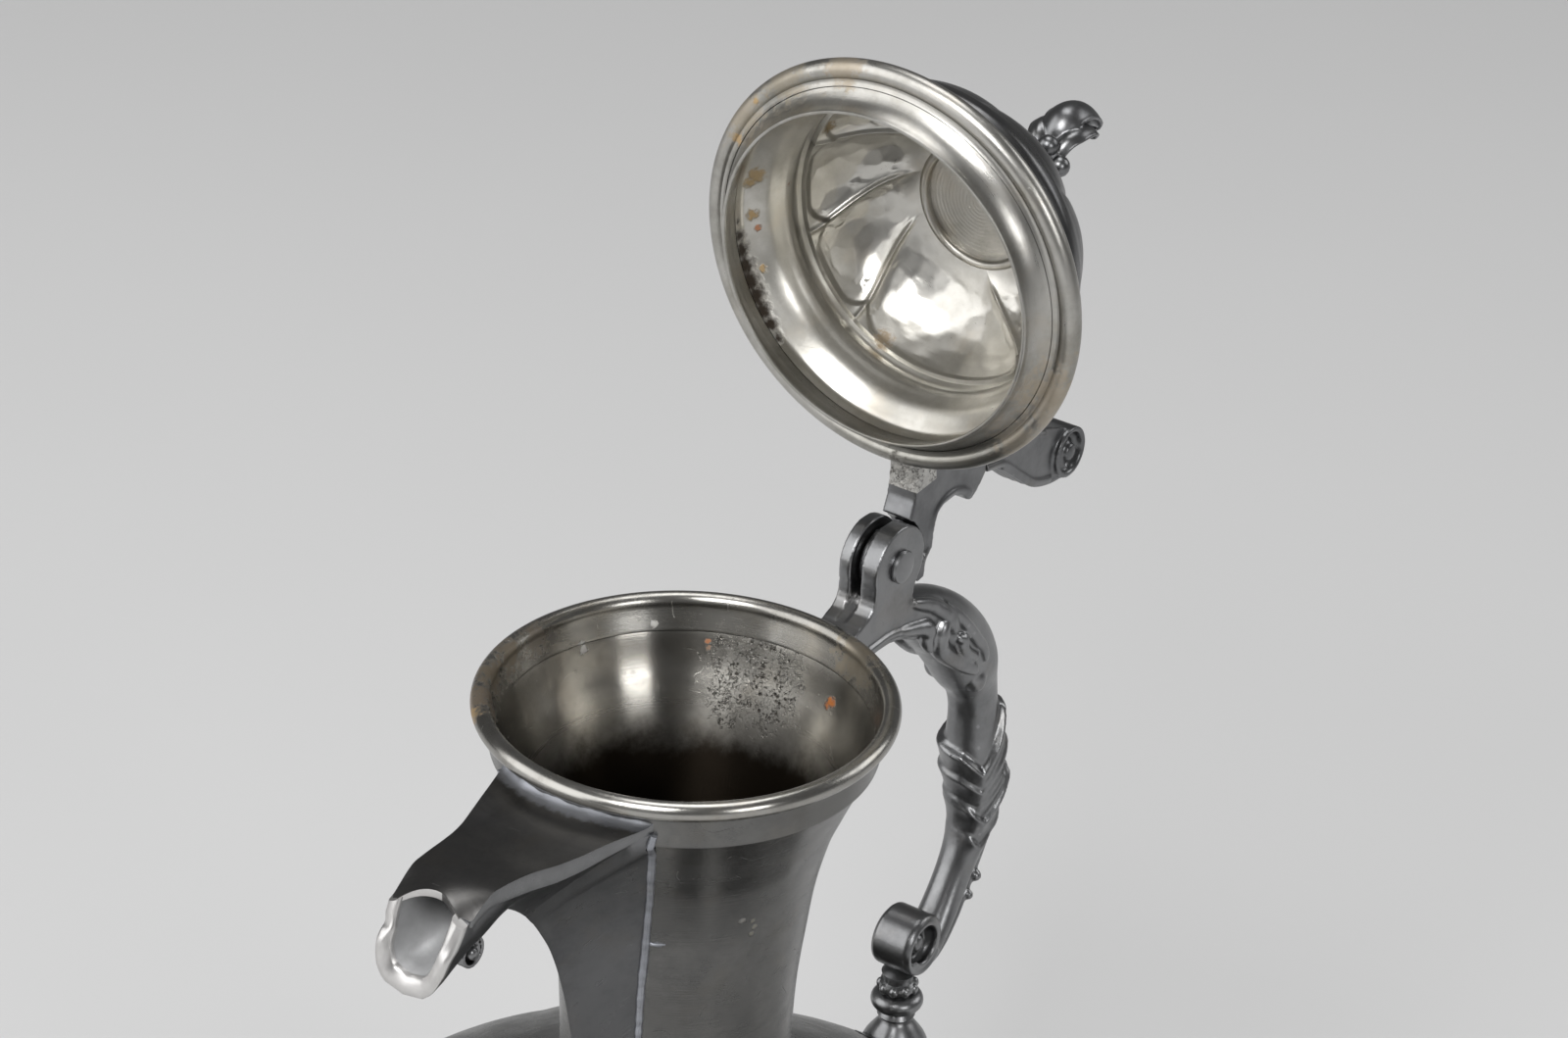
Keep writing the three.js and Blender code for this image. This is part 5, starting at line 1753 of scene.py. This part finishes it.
@dataclass
class Lid:
    """The domed lid: rim, spigot, swirled dome, crown, stem and finial, drawn shut."""

    ribs: tuple[float, ...] = (38.0, 75.0, 113.0, 154.0, 196.0, 238.0, 279.0, 321.0)
    swirl: float = 30.0
    crease: float = 0.8
    foot: Pair = (27.1, 19.0)
    crown: Pair = (12.2, 31.6)
    opening: float = 11.2
    swell: float = 2.6
    wall: float = 1.1
    lobe_columns: int = 62
    rows: int = 66
    facet: float = 2.9

    def build(self) -> None:
        """Makes and dresses the lid's turned and raised pieces and its finial."""
        settle("lid_rim_casting", self._rim(), (LID_RIM,), Body.LID, ["lid_rim"])
        settle("lid_spigot_ring", self._spigot(), (LID_RIM,), Body.LID, ["lid_spigot"])
        finishes = (LID_OUTSIDE, LID_INSIDE, LID_RING)
        settle("lid_dome_sheet", self._dome(), finishes, Body.LID, ["lid_dome"], 50)
        settle("lid_crown_disc", self._crown(), (LID_OUTSIDE, CROWN_INSIDE), Body.LID, ["lid_crown"])
        settle("stem_turning", self._stem(), (LID_CASTING,), Body.LID, ["finial_stem"])
        settle("finial_casting", self._finial(), (LID_CASTING,), Body.LID, ["finial"], 60)
        self._berries()

    def _rim(self) -> Surface:
        """The lid's rim: a rounded land, a cove and the outer bead.

        Returns:
            A closed surface.
        """
        land = [(32.75, 3.3), (33.0, 3.5), (33.3, 3.66), (33.6, 3.74), (33.85, 3.72)]
        bead = arc((35.03, 5.15), 1.8, -134, 90, 30)
        top = [(34.6, 7.0), (34.2, 7.25), (33.6, 7.45), (32.95, 7.5), (32.8, 7.2), (32.75, 6.0)]
        return turned([*land, *bead, *top])

    def _spigot(self) -> Surface:
        """The ring that drops into the mouth, thin and bright at its edge.

        Returns:
            A closed surface.
        """
        outer = flow([(30.2, -0.72), (30.34, 0.1), (30.66, 1.0), (31.2, 1.95), (31.95, 2.8), (32.6, 3.3)], 5)
        inner = flow([(30.65, 2.3), (30.1, 1.2), (29.7, 0.2), (29.5, -0.6)], 4)
        lip = [(29.6, -0.85), (29.85, -0.95), (30.1, -0.9)]
        return turned([*outer, (32.66, 3.5), (32.66, 4.5), (32.2, 4.55), (31.4, 4.5), (31.0, 3.6), *inner, *lip])

    def _line(self, t: np.ndarray) -> tuple[np.ndarray, np.ndarray, float, float]:
        """The dome's inner line from ledge to crown, with the direction out of it.

        Args:
            t: places along it, 0 to 1.

        Returns:
            Radii and heights, and the direction's two parts.
        """
        length = math.hypot(self.crown[0] - self.foot[0], self.crown[1] - self.foot[1])
        nr, nz = (self.crown[1] - self.foot[1]) / length, (self.foot[0] - self.crown[0]) / length
        rise = self.swell * 4 * t * (1 - t)
        radius = self.foot[0] + (self.crown[0] - self.foot[0]) * t + nr * rise
        return radius, self.foot[1] + (self.crown[1] - self.foot[1]) * t + nz * rise, nr, nz

    def _columns(self) -> tuple[np.ndarray, np.ndarray, np.ndarray]:
        """Angles of the columns in radians, the share of its lobe that each stands at, and the lobe's width.

        Returns:
            Three numbers for each column.
        """
        angles, share, width = [], [], []
        for start, end in zip(self.ribs, (*self.ribs[1:], self.ribs[0] + 360)):
            s = np.arange(self.lobe_columns) / self.lobe_columns
            s = s - 0.82 * np.sin(TURN * s) / TURN
            angles.append(np.radians(start + (end - start) * s))
            share.append(s)
            width.append(np.full(self.lobe_columns, math.radians(end - start)))
        return np.concatenate(angles), np.concatenate(share), np.concatenate(width)

    def _face_of_dome(self, t: np.ndarray, out: float, inside: bool) -> np.ndarray:
        """One side of the dome as rings of points.

        Args:
            t: places from the ledge to the crown.
            out: how far this side lies outside the inner line, in millimetres.
            inside: True for the hammered inner side with its ribs.

        Returns:
            An array of rings, columns and coordinates.
        """
        angle, share, width = self._columns()
        radius, height, nr, nz = self._line(t)
        turn = angle[None, :] + math.radians(self.swirl) * t[:, None] ** 1.6
        deep = self.crease * np.sin(math.pi * (0.1 + 0.86 * t))[:, None]
        off = out - deep * (1 - np.sin(math.pi * np.clip(share, 1e-6, 1 - 1e-6)) ** 0.85)[None, :]
        away = np.minimum(share, 1 - share)[None, :] * width[None, :] * radius[:, None]
        if not inside:
            off = off - 0.25 * np.exp(-((away / 0.8) ** 2)) * np.sin(math.pi * t)[:, None]
        reach = radius[:, None] + nr * off
        base = np.stack([reach * np.cos(turn), reach * np.sin(turn), height[:, None] + nz * off], axis=-1)
        if not inside:
            return base
        smooth = smooth_step(0.5, 2.4, away) * (smooth_step(0.02, 0.1, t) * (1 - smooth_step(0.8, 0.92, t)))[:, None]
        base = self._hammered(base, smooth)
        fade = 1 - smooth_step(0.78, 0.97, t)[:, None]
        ridge = 0.42 * fade * np.exp(-((away / 0.45) ** 2)) + 0.2 * fade * np.exp(-((away / 1.3) ** 2))
        border = 0.15 * np.maximum(0, 1 - away / 4.5) ** 2
        pocket = 0.6 * (1 - smooth_step(0, 0.05, t[:, None] - border))
        lift = ridge + pocket
        base[..., 0] -= nr * lift * np.cos(turn)
        base[..., 1] -= nr * lift * np.sin(turn)
        base[..., 2] -= nz * lift
        return base

    def _hammered(self, grid: np.ndarray, share: np.ndarray) -> np.ndarray:
        """Flattens small facets into a grid of points, as a planishing hammer leaves them.

        Args:
            grid: rings, columns and coordinates.
            share: how much of the hammering each point takes, 0 to 1.

        Returns:
            The hammered grid.
        """
        along, down = np.roll(grid, -1, 1) - np.roll(grid, 1, 1), np.gradient(grid, axis=0)
        normal = np.cross(along, down)
        normal /= np.linalg.norm(normal, axis=2)[..., None]
        random = np.random.default_rng(SEED)
        flat, normals = grid.reshape(-1, 3), normal.reshape(-1, 3)
        area = 2 * math.pi * 21 * 21
        picks = self._spread(flat, random.permutation(len(flat)), int(area / self.facet**2 * 1.15))
        tree = KDTree(len(picks))
        for i, pick in enumerate(picks):
            tree.insert(flat[pick], i)
        tree.balance()
        near = np.array([picks[tree.find(p)[1]] for p in flat])
        tilt = random.normal(0, 0.016, (len(flat), 3))[near]
        plane = normals[near] + tilt
        plane /= np.linalg.norm(plane, axis=1)[:, None]
        high = np.clip(np.sum((flat - flat[near]) * plane, axis=1), -0.14, 0.14) * share.ravel()
        return (flat - high[:, None] * plane).reshape(grid.shape)

    def _spread(self, points: np.ndarray, order: np.ndarray, most: int) -> list[int]:
        """Picks points that keep about a facet's width apart.

        Args:
            points: all points.
            order: the order in which they are tried.
            most: how many are picked at most.

        Returns:
            The numbers of the picked points.
        """
        cells: dict[tuple[int, ...], int] = {}
        for i in order:
            key = tuple(np.floor(points[i] / self.facet + 0.5 * np.sin(points[i][::-1])).astype(int))
            if key not in cells:
                cells[key] = int(i)
            if len(cells) >= most:
                break
        return list(cells.values())

    def _dome(self) -> Surface:
        """The raised dome with its lobes, ribs and waisted neck.

        Returns:
            A closed surface with outside, inside and ring as its finishes.
        """
        angle = self._columns()[0]
        t_in = np.concatenate([np.linspace(0, 0.2, 24, endpoint=False), np.linspace(0.2, 1, self.rows - 24)])
        inner = self._face_of_dome(t_in, 0.0, True)
        outer = self._face_of_dome(np.linspace(0, 1, 34), self.wall, False)
        outside = flow([
            (32.6, 4.8), (32.6, 7.7), (31.6, 8.6), (29.9, 10.4), (28.7, 12.6), (28.4, 14.6), (29.0, 16.4),
            (28.6, 18.4),
        ], 4)
        inside = np.vstack([
            flow([(27.5, 18.4), (28.0, 17.4), (27.9, 16.4)], 4),
            flow([(27.6, 16.0), (27.1, 15.2), (27.05, 14.0), (27.3, 13.0)], 4),
            flow([(27.6, 12.5), (28.6, 10.2), (30.6, 7.8), (31.5, 6.6), (31.5, 4.8)], 5),
        ])
        neck_out, neck_in = [
            np.array([[[r * math.cos(a), r * math.sin(a), z] for a in angle] for r, z in rows])
            for rows in (outside, inside)
        ]
        lips = []
        for last, height in ((outer[-1], 33.0), (inner[-1], 31.8)):
            lip = last.copy()
            lip[:, :2] *= self.opening / np.hypot(lip[:, 0], lip[:, 1])[:, None]
            lip[:, 2] = height
            lips.append(lip[None])
        parts = [neck_out, outer, *lips, inner[::-1], neck_in]
        grid = np.concatenate(parts)
        faces = ring_faces(len(grid), len(angle), True)
        ring_rows = 12
        row_finish = [0] * (len(neck_out) + len(outer) + 1) + [1] * (1 + len(inner))
        row_finish += [2] * ring_rows + [1] * (len(neck_in) - ring_rows)
        return Surface(grid.reshape(-1, 3), faces, [row_finish[k // len(angle)] for k in range(len(faces))])

    def _crown(self) -> Surface:
        """The disc that closes the crown, turned in fine steps inside and rising to the stem.

        Returns:
            A closed surface with outside and inside as its finishes.
        """
        steps = np.linspace(0.6, 9.9, 64)
        cut = -0.012 * np.cos(steps * 9.0) + 0.01 * np.sin(steps * 23.0) - 0.05 * np.exp(-((steps - 9.2) ** 2))
        inside = np.column_stack([steps, 32.3 + cut])
        ring = arc((11.15, 31.75), 0.85, 150, 385, 14)
        edge = [*ring, (11.0, 32.5), (11.0, 33.3), (13.0, 33.3), (13.25, 33.5), (13.35, 33.9), (13.2, 34.25)]
        outside = flow([(12.9, 34.4), (11.4, 35), (9, 35.7), (6.8, 37.5), (5.6, 40.1)], 6)
        outline = [(0, 32.3), *inside, *edge, *outside, (5.2, 40.8), (5.5, 41.2), (5.0, 41.5), (0, 41.5)]
        disc = turned(outline, 200)
        disc.finish = [int(k // 200 < len(inside) + 14) for k in range(len(disc.faces))]
        disc.finish[-400:] = [1] * 200 + [0] * 200
        return disc

    def _stem(self) -> Surface:
        """The turned stem with its two fillets.

        Returns:
            A closed surface.
        """
        return turned([
            (0, 41.8), (4.1, 41.8), (4.3, 42.1), (4.0, 42.5), (3.3, 42.9), (3.3, 43.3),
            *arc((3.0, 45.2), 2.0, -62, 62, 12), (3.6, 47.2), (2.9, 47.6), (2.6, 48.2), (2.7, 48.9), (0, 48.9),
        ], 96)

    def _finial(self) -> Surface:
        """The bud and the three-lobed leaf that curls up and over it.

        Returns:
            A closed surface.
        """
        bud = turned([
            (0, 49.2), (2.8, 49.2), (3.3, 50.2), (3.4, 51.6), (3.1, 53.2), (2.4, 54.6), (1.6, 55.6), (0, 56.2),
        ], 40)
        middle = [
            (2.4, 54.4, 1.6), (-1.4, 54.0, 2.3), (-4.8, 55.0, 3.0), (-7.0, 57.3, 3.4), (-7.5, 60.4, 3.5),
            (-6.5, 63.6, 3.4), (-4.4, 66.3, 3.1), (-1.8, 67.8, 2.6), (0.1, 67.4, 1.9), (0.5, 66.0, 1.3),
        ]
        wing = [
            (2.2, 52.6, 0.9), (-1.2, 51.8, 1.3), (-3.9, 53.8, 1.7), (-4.8, 57.0, 1.9), (-4.2, 60.4, 1.8),
            (-2.8, 62.0, 1.5), (-1.6, 61.9, 1.1), (-1.3, 60.8, 0.8),
        ]
        parts = [bud, *self._leaf(middle, 0.0, 0.0)]
        for side in (-1, 1):
            parts += self._leaf(wing, side * 3.2, side * 0.35)
        return fused(together(parts), 0.2, 5)

    def _leaf(self, rows: Rows, aside: float, lean: float) -> list[Surface]:
        """One curled lobe with a raised edge on both sides.

        Args:
            rows: (x, height, half width) along it.
            aside: how far its middle lies from the lid's middle plane.
            lean: how much it turns outwards along its length.

        Returns:
            The lobe and its two edges.
        """
        line = flow(rows, 7)
        ahead = headings(line[:, :2])
        v = np.linspace(-1, 1, 31)
        rings, edges = [], ([], [])
        for k, ((x, z, half), (ax, az)) in enumerate(zip(line, ahead)):
            t = k / (len(line) - 1)
            middle = aside * (0.45 + 0.55 * min(1.0, t * 2.5)) + lean * 2.0 * t
            cup = 0.55 * half * v * v * (0.3 + 0.7 * math.sin(math.pi * min(1.0, t * 1.1)))
            low, high, between = [
                np.column_stack([x + az * (cup + up), middle + v * half, z - ax * (cup + up)])
                for up in (0.0, 1.0 - 0.35 * t, 0.3)
            ]
            rings.append(np.vstack([low, high[::-1]]))
            for edge, place in zip(edges, (between[0], between[-1])):
                edge.append(place)
        return [skin(rings), *[cord(np.array(edge), 0.34) for edge in edges]]

    def _berries(self) -> None:
        """Berries in two rows round the bud."""
        for name, count, first, round_, height, radius in (
            ("finial_berries", 5, 56, 3.55, 51.4, 1.95), ("finial_seeds", 7, 0, 3.0, 49.3, 0.95),
        ):
            angles = np.radians(np.arange(count) * 360 / count + first)
            ring = np.column_stack([round_ * np.cos(angles), round_ * np.sin(angles), np.full(count, height)])
            berries = ring_of_beads(name, 20, 0.1, radius, 1.0, LID_CASTING).applied(Surface(ring, []), True)
            settle(name + "_row", berries, (LID_CASTING,), Body.LID, [])


@dataclass
class Arm:
    """The strap from the hinge pin to the lid, and the thumbpiece that rises from it."""

    half: float = 3.0
    clear: float = 7.85
    back: Rows = (
        (63.2, 9.4), (62.2, 11.4), (59.4, 11.8), (58.4, 13.8), (55.6, 14.3), (52.0, 16.0), (51.4, 20), (52.6, 23.2),
        (54.8, 25.6), (53.6, 28.2), (51.6, 30.6),
    )
    rim: Rows = (
        (62.6, 10.2), (59.6, 10.9), (57.4, 12.8), (54.4, 13.3), (51.0, 15.4), (50.2, 19.8), (51.6, 23.6),
        (53.6, 25.8),
    )
    roll: Pair = (60.8, 57.6)

    def build(self) -> None:
        """Makes and dresses the arm and the thumbpiece."""
        arm = self._strap()
        arm.finish = [int(self._is_raw(arm.points[list(face)].mean(axis=0))) for face in arm.faces]
        settle("arm_casting", arm, (LID_CASTING, RAW_CASTING), Body.LID, ["lid_arm"], 60)
        settle("thumb_scroll", self._scroll(), (LID_CASTING,), Body.LID, ["thumbpiece"], 60)

    def _is_raw(self, place: np.ndarray) -> bool:
        """Tells whether a place lies on the rough cast front and underside of the web.

        Args:
            place: the middle of a face.

        Returns:
            True where the casting is left rough.
        """
        x, y, z = place
        front = abs(y) < self.half - 0.3 and x + 0.55 * z < 53.0 and 9.5 < z < 27
        return (x < 45 and z < 15) or front

    def _strap(self) -> Surface:
        """The tongue round the pin and the scalloped web behind the lid.

        Returns:
            A closed surface.
        """
        at = (HINGE_X, HINGE_Z)
        root = [(HINGE_X + 1, 12), (HINGE_X - 6, 12)]
        tongue = plate([*arc(at, 5.2, -170, 60, 30), *root, *arc(at, 5.55, 130, 190, 10)[:-1]], -0.3, 1.3)
        back = flow(self.back, 4)
        front = flow([(45.6, 30.6), (44.0, 23.6), (41.4, 18.4), (38.0, 14.4), (36.1, 11.4), (36.3, 8.5)], 4)
        under = flow([(36.3, 8.5), (39.4, 9.25), (42.6, 9.3), (46.4, 8.6)], 4)
        web = plate([*under[1:], *arc(at, self.clear, 145, 42, 24), *back, *front], -self.half, self.half)
        ridges = []
        for side in (-1, 1):
            y = side * (self.half - 0.1)
            ridges += [cord(aside(flow(self.rim, 5), y), 0.6), ball(58.8, y, 10.6, 0.9)]
        bore = cross_bar(*at, [(0, -6), (2.1, -6), (2.1, 6), (0, 6)], 40)
        return carved(fused(together([tongue, web, *ridges])), bore)

    def _scroll(self) -> Surface:
        """The tall scroll, furrowed along its face and rolled over at its top.

        Returns:
            A closed surface.
        """
        front = [(45.8, 30.9), (46.6, 36.9), (48.9, 43), (52.2, 50.0), (56.2, 58.4)]
        back = [(51.8, 30.9), (53.6, 36.4), (58.2, 41.6), (62.4, 46.6), (64.6, 52.0), (65.4, 57.0)]
        parts = [plate([*flow(back, 8), *flow(front, 8)[::-1]], -self.half, self.half)]
        face = [(4.9, 4.0), (4.4, 4.1), (3.9, 3.9), (3.4, 2.6), (2.4, 2.3), (1.9, 3.1), (1.5, 4.0), (0, 4.3)]
        parts.append(cross_bar(*self.roll, [(r, -h) for r, h in reversed(face)] + face, 72))
        for y in (-2.6, -0.9, 0.9, 2.6):
            parts.append(cord(flow([(x - 0.05, y, z) for x, z in back[1:]], 8), 0.62))
        for y in (0.05 - self.half, self.half - 0.05):
            for line, off, radius in ((back[:-1], -0.8, 0.55), (front[:-1], 0.8, 0.5)):
                parts.append(cord(flow([(x + off, y, z) for x, z in line], 6), radius))
        return fused(together(parts))


# Studio


@dataclass
class Studio:
    """The plain floor, the soft lamps and the camera."""

    camera_at: Point = (-450.14, -325.55, 553.92)
    ahead: Point = (0.7274, 0.4977, -0.4724)
    roll: float = 0.045
    lens: float = 60.0
    sensor: float = 23.6
    grey: float = 0.14
    floor_tone: float = 0.62
    aim: Point = (0.02, 0, 0.22)
    lamps: tuple[tuple[str, Point, float, float], ...] = (
        ("window", (-1.25, 1.05, 1.0), 2.0, 26.0),
        ("key", (-1.15, -0.25, 1.5), 0.7, 20.0),
        ("side", (-0.62, -1.7, 0.98), 0.6, 8.0),
        ("fill", (1.5, -1.0, 1.1), 1.0, 7.0),
        ("top", (0.5, 0.2, 2.2), 1.0, 12.0),
    )

    def build(self) -> None:
        """Makes the floor, the world, the lamps and the camera."""
        scene = bpy.context.scene
        scene.view_settings.view_transform = "Standard"
        self._floor()
        self._world(scene)
        for name, place, size, power in self.lamps:
            lamp = bpy.data.lights.new(name + "_softbox", "AREA")
            lamp.shape, lamp.size, lamp.energy = "SQUARE", size, power
            thing = linked(lamp.name, lamp)
            thing.location = place
            thing.rotation_euler = (Vector(self.aim) - Vector(place)).to_track_quat("-Z", "Y").to_euler()
        self._camera(scene)

    def _floor(self) -> None:
        """A wide pale floor with a faint unevenness in its paint."""
        mesh = bpy.data.meshes.new("studio_floor")
        net = bmesh.new()
        bmesh.ops.create_grid(net, x_segments=8, y_segments=8, size=4.0)
        net.to_mesh(mesh)
        net.free()
        material = bpy.data.materials.new("floor_paint")
        material.use_nodes = True
        paint = Tree(material.node_tree)
        shade = paint.ease(paint.noise(paint.out("TexCoord", {}, "Object"), 3.0, 3), 0.3, 0.7)
        tone, shadow = (self.floor_tone,) * 3, (self.floor_tone * 0.8,) * 3
        colour = paint.blend(shade * 0.06, tone, shadow)
        paint.end(paint.out("BsdfPrincipled", {"Base Color": colour, "Roughness": 0.75}))
        mesh.materials.append(material)
        linked("studio_floor", mesh)

    def _world(self, scene: bpy.types.Scene) -> None:
        """An even grey surround.

        Args:
            scene: the scene that it surrounds.
        """
        world = bpy.data.worlds.new("studio_world")
        world.use_nodes = True
        sky = world.node_tree.nodes["Background"].inputs
        sky["Color"].default_value = (self.grey, self.grey, self.grey, 1)
        sky["Strength"].default_value = 1.0
        scene.world = world

    def _camera(self, scene: bpy.types.Scene) -> None:
        """The camera at the photograph's place, with its slight roll.

        Args:
            scene: the scene that it looks at.
        """
        ahead = Vector(self.ahead).normalized()
        right = ahead.cross(Vector((0, 0, 1))).normalized()
        up = right.cross(ahead)
        across = math.cos(self.roll) * right + math.sin(self.roll) * up
        above = -math.sin(self.roll) * right + math.cos(self.roll) * up
        eye = bpy.data.cameras.new("photo_camera")
        eye.lens, eye.sensor_width, eye.sensor_fit = self.lens, self.sensor, "HORIZONTAL"
        eye.clip_start, eye.clip_end = 0.01, 50
        camera = linked("photo_camera", eye)
        turn = Matrix((across, above, -ahead)).transposed().to_4x4()
        camera.matrix_world = Matrix.Translation(Vector(self.camera_at) * MM) @ turn
        scene.camera = camera


def main() -> None:
    """Builds the studio and the jug, piece by piece."""
    logging.basicConfig(level=logging.INFO, format="%(message)s")
    Studio().build()
    belly = Belly()
    for part in (Neck(), belly, Foot(), Spout(), Handle(belly), Lid(), Arm()):
        log.info("making the %s", type(part).__name__.lower())
        part.build()


if __name__ == "__main__":
    main()
